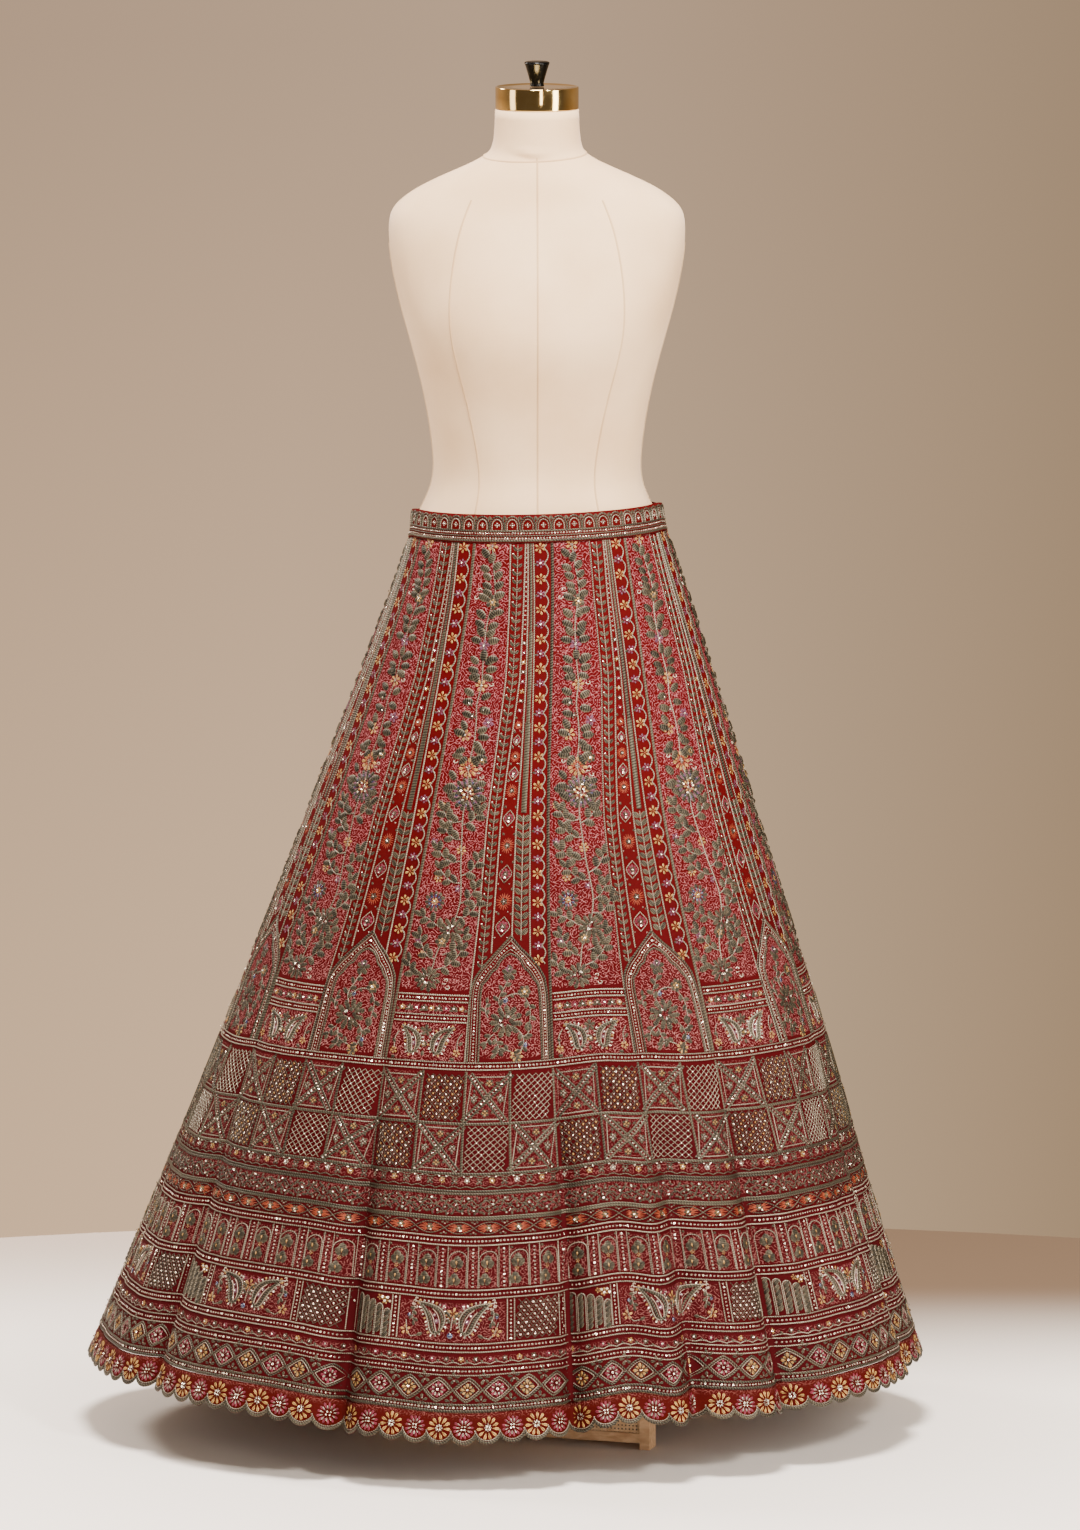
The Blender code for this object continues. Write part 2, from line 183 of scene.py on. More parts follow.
SECTION_ALONG = np.array([row.along for row in SECTIONS])
SECTION_VALUES = {name: np.array([getattr(row, name) for row in SECTIONS]) for name in Section._fields[2:]}
LOWER = np.maximum(np.arange(len(SECTIONS)) - 1, 0)
HIGHER = np.minimum(np.arange(len(SECTIONS)) + 1, len(SECTIONS) - 1)


def eased(column, along):
    """A smooth curve through one column of SECTIONS."""
    values = SECTION_VALUES[column]
    slopes = (values[HIGHER] - values[LOWER]) / (SECTION_ALONG[HIGHER] - SECTION_ALONG[LOWER])
    here = np.searchsorted(SECTION_ALONG[1:-1], along, side="left")
    span = SECTION_ALONG[here + 1] - SECTION_ALONG[here]
    s = np.clip((along - SECTION_ALONG[here]) / span, 0.0, 1.0)
    return (
        values[here] * (2 * s**3 - 3 * s**2 + 1)
        + slopes[here] * span * (s**3 - 2 * s**2 + s)
        + values[here + 1] * (3 * s**2 - 2 * s**3)
        + slopes[here + 1] * span * (s**3 - s**2)
    )


def cloth(gore, along):
    """Points of the cloth's outer face, for arrays of gores round and distances down."""
    gore, along = np.broadcast_arrays(np.asarray(gore, float), np.asarray(along, float))
    outwards, downwards = np.zeros(gore.shape), np.zeros(gore.shape)
    for fold in FOLDS:
        reach = np.clip((along - fold.top) / (HEM - fold.top), 0.0, None)
        away = (gore - fold.at + GORES / 2) % GORES - GORES / 2
        share = reach * reach * (3 - 2 * reach) * np.exp(-((away / fold.width) ** 2))
        outwards = outwards + fold.depth * share
        downwards = downwards + fold.lower * share
    for crease in CREASES:
        reach = np.clip((along - crease.top) / (crease.bottom - crease.top), 0.0, 1.0)
        away = (gore - crease.at + GORES / 2) % GORES - GORES / 2
        share = np.sin(math.pi * reach) ** 2 * np.exp(-((away / crease.width) ** 2))
        outwards = outwards + crease.depth * share
    row = {name: eased(name, along) for name in SECTION_VALUES}
    turned = np.radians(360 / GORES * gore + row["turn"])
    bearing = turned - row["evening"] * np.sin(2 * turned)
    depth = np.where(np.cos(bearing) > 0, row["front"], row["back"])
    x = (row["half_width"] + outwards) * np.sin(bearing)
    y = -(depth + outwards) * np.cos(bearing)
    z = row["height"] - row["drop"] * np.cos(bearing) ** 2 + row["tilt"] * x - downwards
    behind = np.clip(-np.cos(bearing) * 2 + 0.5, 0, 1)
    z = z - BACK_SETTLES * behind * np.clip(1 - along / SETTLED_ABOVE, 0, 1)
    return np.stack([AXIS.x + row["centre_x"] + x, AXIS.y + y, z], axis=-1)


def unit(vectors):
    return vectors / np.maximum(np.linalg.norm(vectors, axis=-1, keepdims=True), 1e-12)


def run_lengths(path):
    """How far along a path each of its points is."""
    return np.concatenate([[0], np.cumsum(np.linalg.norm(np.diff(path, axis=0), axis=1))])


def around(x, y, angle, reach):
    """The spot that many millimetres from (x, y), at that angle in radians."""
    return x + math.cos(angle) * reach * MM, y + math.sin(angle) * reach * MM


def cloth_frame(gore, along):
    """The cloth's points there, with the directions to the right, up the cloth and outwards."""
    gore, along = np.asarray(gore, float), np.asarray(along, float)
    round_it = cloth(gore + 0.004, along) - cloth(gore - 0.004, along)
    down_it = cloth(gore, along + 0.0015) - cloth(gore, along - 0.0015)
    outward = unit(np.cross(down_it, round_it))
    up = unit(-down_it)
    return cloth(gore, along), unit(np.cross(up, outward)), up, outward


# A gore's flat cut is laid out in metres: x from its left seam, y down from the waistband
WIDTH_ALONG = (-0.04, 0.0, 0.1, 0.2, 0.3, 0.4, 0.5, 0.6, 0.7, 0.8, 0.9, 1.0, 1.05)
WIDTHS = (0.0835, 0.0844, 0.1021, 0.1198, 0.1374, 0.1546, 0.1716, 0.189, 0.2081, 0.229, 0.2511, 0.273,
          0.284)


def gore_width(y):
    return np.interp(y, WIDTH_ALONG, WIDTHS)


# Where the strips and arches stop, above the checks
UPPER_END = 0.6185

# How far left of the right-hand seam the borders of the upper strips run
STRIP_ALONG = (0.0, 0.055, 0.16, 0.265, 0.33, 0.449, 0.524, UPPER_END)
STRIPS = {
    "flowers": np.array((20.0, 20.3, 20.8, 21.4, 21.8, 22.4, 22.6, 22.8)) * MM,
    "braid": np.array((25.5, 27.3, 29.5, 34.0, 38.5, 43.0, 45.0, 46.0)) * MM,
    "medallions": np.array((28.0, 31.7, 36.9, 50.0, 57.5, 65.3, 70.0, 74.0)) * MM,
    "chain": np.array((44.0, 47.8, 53.2, 66.4, 74.2, 83.0, 91.0, 99.0)) * MM,
}


def strip(name, y):
    """x of that strip's left border."""
    return gore_width(y) - np.interp(y, STRIP_ALONG, STRIPS[name])


# Stitches: each is modelled once, about one unit long, and copied along the work


def read_stamp(obj):
    """The modelled stitch as arrays, with its length and breadth as its UVs; its object is removed."""
    bm = bmesh.new()
    bm.from_mesh(obj.data)
    bmesh.ops.triangulate(bm, faces=bm.faces[:])
    bm.normal_update()
    points = np.array([v.co[:] for v in bm.verts])
    faces = np.array([[v.index for v in f.verts] for f in bm.faces])
    bm.free()
    mesh = obj.data
    bpy.data.objects.remove(obj)
    bpy.data.meshes.remove(mesh)
    low, high = points.min(axis=0), points.max(axis=0)
    uvs = (points[:, :2] - low[:2]) / (high[:2] - low[:2])
    normals = np.cross(points[faces[:, 1]] - points[faces[:, 0]], points[faces[:, 2]] - points[faces[:, 0]])
    flip = normals[:, 2] < 0
    faces[flip] = faces[flip][:, ::-1]
    return points, faces, uvs


def dome(sides, steps):
    """A low round dome from a disc, inset ring by ring; steps are (share of radius, height)."""
    bpy.ops.mesh.primitive_circle_add(vertices=sides, radius=0.5, fill_type="NGON")
    obj = bpy.context.object
    bpy.ops.object.mode_set(mode="EDIT")
    bpy.ops.mesh.select_all(action="SELECT")
    last_size, last_height = 1.0, 0.0
    for size, height in steps:
        bpy.ops.mesh.extrude_region_move(TRANSFORM_OT_translate={"value": (0, 0, height - last_height)})
        bpy.ops.transform.resize(value=(size / last_size, size / last_size, 1))
        last_size, last_height = size, height
    bpy.ops.object.mode_set(mode="OBJECT")
    bm = bmesh.new()
    bm.from_mesh(obj.data)
    lowest = [f for f in bm.faces if all(abs(v.co.z) < 1e-6 for v in f.verts)]
    bmesh.ops.delete(bm, geom=lowest, context="FACES")
    top = max(bm.faces, key=lambda f: f.calc_center_median().z - 0.001 * len(f.verts))
    bmesh.ops.poke(bm, faces=[f for f in bm.faces if len(f.verts) > 4] or [top])
    bm.to_mesh(obj.data)
    bm.free()
    return obj


def blade(rows, crown):
    """A leaf or petal from a strip of squares, pulled to rows of (place along, half breadth)."""
    bpy.ops.mesh.primitive_grid_add(x_subdivisions=2, y_subdivisions=len(rows) - 1, size=1)
    obj = bpy.context.object
    for v in obj.data.vertices:
        row = min(range(len(rows)), key=lambda i: abs(i / (len(rows) - 1) - 0.5 - v.co.y))
        place, half = rows[row]
        side = 0 if abs(v.co.x) < 0.1 else math.copysign(1, v.co.x)
        middle = 1 - abs(side)
        v.co = (side * half, place, middle * crown * min(1.0, half * 4))
    bpy.ops.object.mode_set(mode="EDIT")
    bpy.ops.mesh.select_all(action="SELECT")
    bpy.ops.mesh.remove_doubles(threshold=0.0005)
    bpy.ops.object.mode_set(mode="OBJECT")
    return obj


clear_selection()
STAMPS = {
    "bead": read_stamp(dome(5, ((0.55, 0.42),))),
    "sequin": read_stamp(dome(6, ((0.35, -0.06),))),
    "stone": read_stamp(dome(8, ((0.80, 0.25), (0.45, 0.36)))),
    "leaf": read_stamp(blade(((0.0, 0.04), (0.16, 0.38), (0.45, 0.50), (0.78, 0.38), (1.0, 0.02)), 0.30)),
    "petal": read_stamp(blade(((0.0, 0.12), (0.35, 0.36), (0.72, 0.50), (1.0, 0.10)), 0.34)),
    "drop": read_stamp(blade(((0.0, 0.0), (0.55, 0.42), (0.85, 0.40), (1.0, 0.0)), 0.40)),
    "ray": read_stamp(blade(((0.0, 0.50), (1.0, 0.30)), 0.30)),
}


class Thread:
    """All the work done in one thread: cords laid along paths, and stitches set on spots."""

    def __init__(self):
        self.paths = []
        self.spots = {}

    def lay(self, gores, alongs, width, height, lift=0.0):
        """A cord along a path; width, height and lift are in millimetres."""
        self.paths.append((np.asarray(gores, float), np.asarray(alongs, float), width, height, lift))

    def sew(self, kind, gore, along, turn=0.0, length=2.0, breadth=2.0, height=1.0, lift=0.0):
        """One stitch; turn is clockwise from straight up the cloth, in degrees, and sizes are in mm."""
        self.spots.setdefault(kind, []).append((gore, along, turn, length, breadth, height, lift))

    def cord_mesh(self):
        points, faces, uvs, shades, first = [], [], [], [], 0
        for gores, alongs, width, height, lift in self.paths:
            centre, _, _, outward = cloth_frame(gores, alongs)
            forward = unit(np.gradient(centre, axis=0))
            side = unit(np.cross(outward, forward)) * (width * MM / 2)
            count = len(centre)
            low = outward * (lift * MM)
            rows = np.stack([centre - side + low, centre + outward * ((lift + height) * MM),
                             centre + side + low], 1)
            points.append(rows.reshape(-1, 3))
            length = run_lengths(centre)
            uvs.append(np.stack([np.repeat(length, 3), np.tile([0.0, 0.5, 1.0], count)], -1))
            shades.append(np.full(count * 3, chance.random()))
            i = first + 3 * np.arange(count - 1)
            faces.append(np.stack([i, i + 3, i + 4, i + 1], -1))
            faces.append(np.stack([i + 1, i + 4, i + 5, i + 2], -1))
            first += 3 * count
        return points, faces, uvs, shades, first

    def mesh(self, name):
        """Everything as one joined mesh."""
        points, quads, uvs, shades, first = self.cord_mesh()
        triangles = []
        for kind, rows in self.spots.items():
            base, base_faces, base_uvs = STAMPS[kind]
            gore, along, turn, length, breadth, height, lift = (np.array(rows, float).T)[:, :, None, None]
            gore, along = gore[:, 0, 0], along[:, 0, 0]
            centre, right, up, outward = (part[:, None, :] for part in cloth_frame(gore, along))
            turn = np.radians(turn + chance.normal(0, 3.0, turn.shape))
            size = 1 + chance.normal(0, 0.04, turn.shape)
            heading = up * np.cos(turn) + right * np.sin(turn)
            across = right * np.cos(turn) - up * np.sin(turn)
            x, y, z = (base[None, :, i, None] for i in range(3))
            placed = (
                centre
                + across * (x * breadth * size * MM)
                + heading * (y * length * size * MM)
                + outward * ((lift + z * height) * MM)
            )
            if kind == "sequin":
                placed = placed + outward * ((x * chance.normal(0, 0.28, turn.shape)
                                              + y * chance.normal(0, 0.28,
                                                                  turn.shape) + 0.45) * MM * length)
            count = len(rows)
            points.append(placed.reshape(-1, 3))
            uvs.append(np.tile(base_uvs, (count, 1)))
            shades.append(np.repeat(chance.random(count), len(base)))
            offsets = first + len(base) * np.arange(count)
            triangles.append((base_faces[None] + offsets[:, None, None]).reshape(-1, 3))
            first += len(base) * count
        return made_mesh(name, np.concatenate(points), quads, triangles, np.concatenate(uvs),
                         np.concatenate(shades))


def made_mesh(name, points, quads, triangles, point_uvs=None, shades=None):
    """A mesh object from arrays, smooth, with a UV map and a shade for each point."""
    loops, sizes = [], []
    for group, corners in ((quads, 4), (triangles, 3)):
        for block in group:
            loops.append(block.reshape(-1))
            sizes.append(np.full(len(block), corners))
    loops, sizes = np.concatenate(loops).astype(np.int32), np.concatenate(sizes)
    mesh = bpy.data.meshes.new(name)
    mesh.vertices.add(len(points))
    mesh.vertices.foreach_set("co", points.astype(np.float32).reshape(-1))
    mesh.loops.add(len(loops))
    mesh.loops.foreach_set("vertex_index", loops)
    mesh.polygons.add(len(sizes))
    mesh.polygons.foreach_set("loop_start", np.concatenate([[0], np.cumsum(sizes)[:-1]]).astype(np.int32))
    mesh.polygons.foreach_set("use_smooth", np.ones(len(sizes), bool))
    if point_uvs is not None:
        layer = mesh.uv_layers.new(name="UVMap")
        layer.data.foreach_set("uv", point_uvs[loops].astype(np.float32).reshape(-1))
    if shades is not None:
        shade = mesh.attributes.new("shade", "FLOAT", "POINT")
        shade.data.foreach_set("value", shades.astype(np.float32))
    mesh.update(calc_edges=True)
    mesh.validate()
    obj = linked(name, mesh)
    return obj


# Each thread, bead or stone that the work uses
THREADS = {
    name: Thread()
    for name in (
        "zari_braid", "pale_cord", "zari_leaves", "cream_silk", "mauve_silk", "magenta_silk",
        "orange_silk", "copper_beads", "sequins", "navy_stones",
    )
}
braid, pale, leaves = THREADS["zari_braid"], THREADS["pale_cord"], THREADS["zari_leaves"]
cream, mauve, magenta = THREADS["cream_silk"], THREADS["mauve_silk"], THREADS["magenta_silk"]
orange, beads, sequins = THREADS["orange_silk"], THREADS["copper_beads"], THREADS["sequins"]
stones = THREADS["navy_stones"]


class Gore:
    """One panel as the embroiderer sees it flat: x and y in metres, sizes of stitches in millimetres."""

    def __init__(self, number):
        self.number = number

    def gore_of(self, x, y):
        return self.number + np.asarray(x, float) / gore_width(y)

    def lay(self, thread, path, width=1.6, height=0.8, lift=0.0, step=7.0):
        """A cord through (x, y) points, cut into even steps of that many millimetres."""
        path = np.asarray(path, float)
        length = run_lengths(path)
        count = max(2, int(round(length[-1] / (step * MM))) + 1)
        spots = np.linspace(0, length[-1], count)
        x, y = np.interp(spots, length, path[:, 0]), np.interp(spots, length, path[:, 1])
        thread.lay(self.gore_of(x, y), y, width, height, lift)

    def run(self, thread, x_at, start, end, **how):
        """A cord down the panel, whose x is given for each y."""
        y = np.arange(start, end + 0.5 * MM, 4 * MM)
        y[-1] = end
        self.lay(thread, np.stack([x_at(y), y], -1), **how)

    def level(self, thread, y, start=0.0, end=None, **how):
        """A cord straight across the panel."""
        end = gore_width(y) if end is None else end
        self.lay(thread, [(start, y), (end, y)], **how)

    def sew(self, thread, kind, x, y, turn=0.0, length=2.0, breadth=None, height=None, lift=0.0):
        breadth = length if breadth is None else breadth
        height = breadth * 0.5 if height is None else height
        thread.sew(kind, float(self.gore_of(x, y)), y, turn, length, breadth, height, lift)

    def bead_row(self, path, pitch=3.6, size=2.4, bright=9):
        """Beads along a path; about two in every "bright" of them are sequins."""
        path = np.asarray(path, float)
        length = run_lengths(path)
        count = max(1, int(length[-1] / (pitch * MM)))
        for i in range(count):
            spot = (i + 0.5) / count * length[-1]
            x, y = np.interp(spot, length, path[:, 0]), np.interp(spot, length, path[:, 1])
            if chance.integers(bright) < 2:
                self.sew(sequins, "sequin", x, y, length=size, height=0.5, lift=0.5)
            else:
                self.sew(beads, "bead", x, y, length=size, height=1.2)

    def flower(self, thread, x, y, petals, radius, breadth, kind="petal", turn=0.0, hollow=0.15, lift=0.3):
        for i in range(petals):
            angle = turn + 360 * i / petals
            start = radius * hollow
            px, py = around(x, y, math.radians(angle - 90), start)
            self.sew(thread, kind, px, py, angle, radius * (1 - hollow), breadth, breadth * 0.45, lift)

    def daisy(self, x, y, thread=cream, radius=5.0, petals=6, centre=beads):
        self.flower(thread, x, y, petals, radius, radius * 0.42, "drop", turn=chance.random() * 60)
        self.sew(centre, "bead", x, y, length=radius * 0.42, height=1.0, lift=0.8)

    def scroll(self, x, y, side, size=11.0):
        """A little double curl of copper cord to one side."""
        t = np.linspace(0, 1, 17)
        for way, reach in ((1, 1.0), (-1, 0.8)):
            angle = t * 4.6
            radius = size * 0.30 * reach * (1 - 0.72 * t)
            cx = x + side * size * MM * (0.55 + 0.15 * way)
            cy = y + way * size * 0.36 * MM
            px = cx - side * np.cos(angle) * radius * MM
            py = cy + way * np.sin(angle) * radius * MM
            self.lay(beads, np.stack([px, py], -1), width=1.2, height=0.8, step=1.6)
        self.lay(beads, [(x, y), (x + side * size * 0.4 * MM, y)], width=1.2, step=2)

    def leaf(self, x, y, turn, length=10.0, breadth=6.0):
        self.sew(leaves, "leaf", x, y, turn, length, breadth, breadth * 0.8, 0.2)

    def sprig(self, path, leaf_length=9.0, pitch=8.0, tip=True, width=1.3, first=0.5):
        """A stem of pale cord with leaves on both sides."""
        path = np.asarray(path, float)
        smooth = smoothed(path)
        self.lay(pale, smooth, width=width, height=0.9, lift=0.1, step=4)
        length = run_lengths(smooth)
        spot, side = pitch * first * MM, 1
        while spot < length[-1]:
            x, y = np.interp(spot, length, smooth[:, 0]), np.interp(spot, length, smooth[:, 1])
            ahead = min(spot + 2 * MM, length[-1])
            dx = np.interp(ahead, length, smooth[:, 0]) - x
            dy = np.interp(ahead, length, smooth[:, 1]) - y
            heading = math.degrees(math.atan2(dx, -dy)) if ahead > spot else 0.0
            self.leaf(x, y, heading + side * 50, leaf_length, leaf_length * 0.64)
            side = -side
            spot += pitch * MM * 0.62
        if tip:
            dx, dy = smooth[-1] - smooth[-2]
            self.leaf(*smooth[-1], math.degrees(math.atan2(dx, -dy)), leaf_length, leaf_length * 0.55)


def smoothed(path):
    """A soft curve through the points of a path."""
    path = np.asarray(path, float)
    count = len(path)
    if count < 3:
        return path
    t = np.linspace(0, count - 1, (count - 1) * 6 + 1)
    i = np.clip(t.astype(int), 0, count - 2)
    s = (t - i)[:, None]
    slope = np.gradient(path, axis=0)
    return (
        path[i] * (2 * s**3 - 3 * s**2 + 1)
        + slope[i] * (s**3 - 2 * s**2 + s)
        + path[i + 1] * (3 * s**2 - 2 * s**3)
        + slope[i + 1] * (s**3 - s**2)
    )


def olive_rose(gore, x, y, size):
    """A round olive rosette: rings of padded petals with mauve and bright stitches in them."""
    for ring, petals, turn in ((0.50, 11, 0), (0.36, 8, 14), (0.22, 5, 8)):
        gore.flower(leaves, x, y, petals, size * ring, size * 0.17, turn=turn, hollow=0.42,
                    lift=0.3 + (0.5 - ring) * 3)
    for i in range(7):
        angle, reach = chance.random() * 6.3, size * 0.34 * math.sqrt(chance.random())
        kind = (magenta, beads, beads)[i % 3]
        gore.sew(kind, "bead", *around(x, y, angle, reach), length=2.0,
                 height=1.2, lift=1.0)
    for i in range(3):
        angle = chance.random() * 6.3
        gore.sew(sequins, "sequin", *around(x, y, angle, size * 0.16),
                 length=2.6, lift=1.3)


def dahlia(gore, x, y, size):
    """The large flower: dusky olive, mauve and navy petals in layers round a bright middle."""
    gore.flower(leaves, x, y, 15, size * 0.52, size * 0.15, "drop", hollow=0.40)
    gore.flower(mauve, x, y, 15, size * 0.44, size * 0.07, "drop", turn=12, hollow=0.5, lift=0.7)
    gore.flower(leaves, x, y, 11, size * 0.36, size * 0.12, "drop", turn=8, hollow=0.4, lift=1.0)
    for i in range(9):
        angle = math.radians(40 * i + 8)
        gore.sew(stones, "drop", *around(x, y, angle, size * 0.27),
                 90 + math.degrees(angle), size * 0.11, size * 0.055, 0.9, 1.4)
    gore.flower(cream, x, y, 8, size * 0.20, size * 0.06, "drop", hollow=0.35, lift=1.5)
    for i in range(9):
        angle, reach = math.radians(40 * i), size * (0.10 + 0.12 * (i % 2))
        gore.sew(sequins, "sequin", *around(x, y, angle, reach), length=2.6,
                 lift=1.7)


def bloom(gore, x, y, size):
    """The cream flower with an orange heart."""
    gore.flower(cream, x, y, 11, size * 0.5, size * 0.15, "drop", hollow=0.35)
    gore.flower(orange, x, y, 8, size * 0.28, size * 0.10, "drop", hollow=0.3, lift=0.6)
    for i in range(4):
        angle = math.radians(90 * i + 20)
        gore.sew(beads, "bead", *around(x, y, angle, 2), length=2.2, lift=1.0)


def small_flower(gore, x, y, thread=mauve, radius=3.6, petals=5):
    gore.flower(thread, x, y, petals, radius, radius * 0.6, turn=chance.random() * 70)
    gore.sew(sequins, "sequin", x, y, length=2.2, lift=0.9)


def olive_flower(gore, x, y, radius=5.5):
    gore.flower(leaves, x, y, 6, radius, radius * 0.7, turn=chance.random() * 60)
    gore.flower(cream, x, y, 5, radius * 0.5, radius * 0.3, "drop", lift=0.9)
    gore.sew(sequins, "sequin", x, y, length=2.6, lift=1.4)


# The vine that climbs each gore: millimetres right of the vine panel's middle, and metres down
STEM = (
    (1, 0.004), (5, 0.030), (9, 0.055), (6.5, 0.068), (1, 0.092), (0, 0.117), (1, 0.142), (2.5, 0.166),
    (0, 0.190), (3, 0.212), (4, 0.236), (2, 0.265), (6, 0.296), (4, 0.320), (6, 0.345), (8, 0.365),
    (10, 0.385), (13, 0.405), (15, 0.425), (13, 0.444), (8, 0.462), (-2, 0.486), (-5, 0.504), (-8, 0.522),
)
VINE_FLOWERS = (
    ("daisy", 1, 0.0035, 7.0), ("olive", 6.5, 0.068, 8.5), ("mauve", 0, 0.119, 7.0),
    ("daisy", 2.5, 0.167, 7.5),
    ("spark", -9, 0.189, 3.6), ("spark", 11, 0.196, 3.6), ("spark", -3, 0.204, 3.4),
    ("mauve", 19, 0.211, 6.4),
    ("daisy", -9, 0.227, 7.5), ("bloom", 2, 0.266, 24), ("olive", 18, 0.256, 6.5), ("dahlia", 6, 0.297, 40),
    ("daisy", -24, 0.312, 5.0), ("mauve", -26, 0.356, 4.6), ("daisy", 8, 0.365, 6.0),
    ("daisy", -15, 0.400, 5.5),
    ("mauve", 10, 0.412, 4.0), ("blue", -15, 0.428, 25), ("rose", 10, 0.462, 30), ("olive", 1, 0.476, 8.0),
    ("rose", -9, 0.522, 31), ("mauve", -27, 0.478, 4.5), ("daisy", -20, 0.493, 5.0),
)
VINE_SCROLLS = ((-9, 0.058, -1), (8, 0.161, 1), (-8, 0.254, -1), (13, 0.272, 1), (9, 0.527, 1))
VINE_LEAVES = (
    (-6, 0.012, -40), (-3, 0.018, 25), (-2, 0.027, -62), (7, 0.026, 38), (3, 0.037, -58), (10, 0.036, 45),
    (5, 0.047, -66), (12, 0.047, 48), (7, 0.055, -60), (13, 0.057, 60), (-4, 0.082, -48), (5, 0.082, 38),
    (-4, 0.093, -62), (5, 0.094, 60), (-4, 0.104, -35), (4, 0.104, 40), (-8, 0.136, -55), (6, 0.136, 55),
    (-6, 0.146, -75), (9, 0.144, 75), (-2, 0.150, -110), (5, 0.150, 110), (1, 0.133, 0),
    (-9, 0.174, -60), (8, 0.178, 55), (-14, 0.216, -30), (10, 0.218, 62), (13, 0.224, 85), (6, 0.229, 140),
    (1, 0.060, -75), (13, 0.076, 70), (-7, 0.110, -80), (7, 0.110, 80), (9, 0.131, 80), (-4, 0.158, -35),
    (-8, 0.181, -100), (7, 0.190, 100), (-6, 0.199, -75), (-9, 0.238, -120), (9, 0.238, 100),
    (-12, 0.247, -90),
    (12, 0.252, 60), (-12, 0.300, -60), (18, 0.288, 40),
    (-14, 0.222, -70), (7, 0.247, 150), (-3, 0.248, -140), (-16, 0.284, -100), (-21, 0.291, -70),
    (-19, 0.276, -40), (21, 0.282, 70), (26, 0.298, 80), (25, 0.309, 110),
)
VINE_SPRIGS = (
    (((4, 0.330), (-6, 0.332), (-14, 0.328), (-20, 0.318)), 13.1, 10.0),
    (((5, 0.335), (12, 0.332), (19, 0.326), (24, 0.318)), 13.1, 10.0),
    (((7, 0.352), (-2, 0.352), (-10, 0.346), (-15, 0.340)), 12.4, 10.0),
    (((9, 0.378), (0, 0.380), (-10, 0.376), (-20, 0.366)), 13.1, 11.2),
    (((12, 0.396), (20, 0.392), (27, 0.384), (31, 0.374)), 13.1, 11.2),
    (((13, 0.405), (2, 0.404), (-8, 0.396), (-15, 0.388)), 11.7, 11.2),
    (((15, 0.430), (22, 0.426), (28, 0.418), (32, 0.410)), 12.4, 10.0),
    (((12, 0.446), (22, 0.446), (31, 0.438), (36, 0.428)), 12.4, 10.0),
    (((0, 0.462), (-10, 0.456), (-18, 0.450), (-28, 0.446)), 11.7, 10.0),
    (((4, 0.492), (14, 0.488), (22, 0.478), (26, 0.468)), 12.4, 10.0),
    (((-4, 0.498), (-14, 0.494), (-22, 0.482), (-26, 0.470)), 11.7, 10.0),
    (((0, 0.510), (10, 0.506), (20, 0.496), (26, 0.486)), 12.4, 10.0),
    (((-16, 0.516), (-24, 0.518), (-31, 0.512), (-34, 0.502)), 11.7, 10.0),
)


def vine_panel(gore):
    """The climbing vine with its leaves, sprigs, scrolls and flowers."""
    def at(offset, y):
        spread = np.interp(y, (0.0, 0.3), (0.72, 1.0))
        return float(strip("chain", y) / 2 + offset * spread * MM)

    def path(rows):
        return [(at(offset, y), y) for offset, y in rows]

    gore.lay(pale, smoothed(path(STEM)), width=1.5, height=0.9, lift=0.1, step=4)
    for offset, y, turn in VINE_LEAVES:
        gore.leaf(at(offset * 0.62, y + 0.005), y + 0.005, turn, 14.0 if y > 0.07 else 13.0, 9.0)
    for rows, length, pitch in VINE_SPRIGS:
        gore.sprig(path(rows), length, pitch)
    for offset, y, side in VINE_SCROLLS:
        gore.scroll(at(offset, y), y, side)
    for kind, offset, y, size in VINE_FLOWERS:
        x = at(offset, y)
        if kind == "daisy":
            gore.daisy(x, y, cream, size)
        elif kind == "olive":
            olive_flower(gore, x, y, size)
        elif kind == "mauve":
            small_flower(gore, x, y, mauve, size)
        elif kind == "bloom":
            bloom(gore, x, y, size)
        elif kind == "dahlia":
            dahlia(gore, x, y, size)
        elif kind == "blue":
            gore.flower(leaves, x, y, 11, size * 0.5, size * 0.18, hollow=0.5)
            gore.flower(stones, x, y, 9, size * 0.34, size * 0.12, "drop", hollow=0.4, lift=0.6)
            small_flower(gore, x, y, cream, size * 0.17)
        elif kind == "rose":
            olive_rose(gore, x, y, size)
        else:
            small_flower(gore, x, y, leaves, size + 0.6, 4)


ARCH_OUTER = (
    (44.6, 0.4685), (59, 0.485), (68, 0.495), (79, 0.508), (86, 0.518), (90.5, 0.530), (92.5, 0.545),
    (96.5, UPPER_END),
)
ARCH_OUTER_RIGHT = (
    (44.6, 0.4685), (34.6, 0.482), (22, 0.495), (13, 0.507), (6.5, 0.520), (4.2, 0.538), (3.4, 0.56),
    (3.4, UPPER_END),
)
ARCH_INNER = (
    (45.5, 0.4895), (52, 0.4925), (58.5, 0.500), (60.5, 0.507), (67, 0.511), (72, 0.520), (78.5, 0.527),
    (80.5, 0.541),
    (81.5, 0.570), (84, UPPER_END),
)
ARCH_INNER_RIGHT = (
    (45.5, 0.4895), (39, 0.4925), (32.5, 0.500), (30.5, 0.507), (25, 0.511), (20, 0.520), (14.5, 0.527),
    (12.8, 0.541),
    (12.5, 0.570), (12.5, UPPER_END),
)


def from_right(rows):
    """(millimetres left of the right-hand seam, y) rows as (x, y)."""
    return np.array([(gore_width(y) - r * MM, y) for r, y in rows])


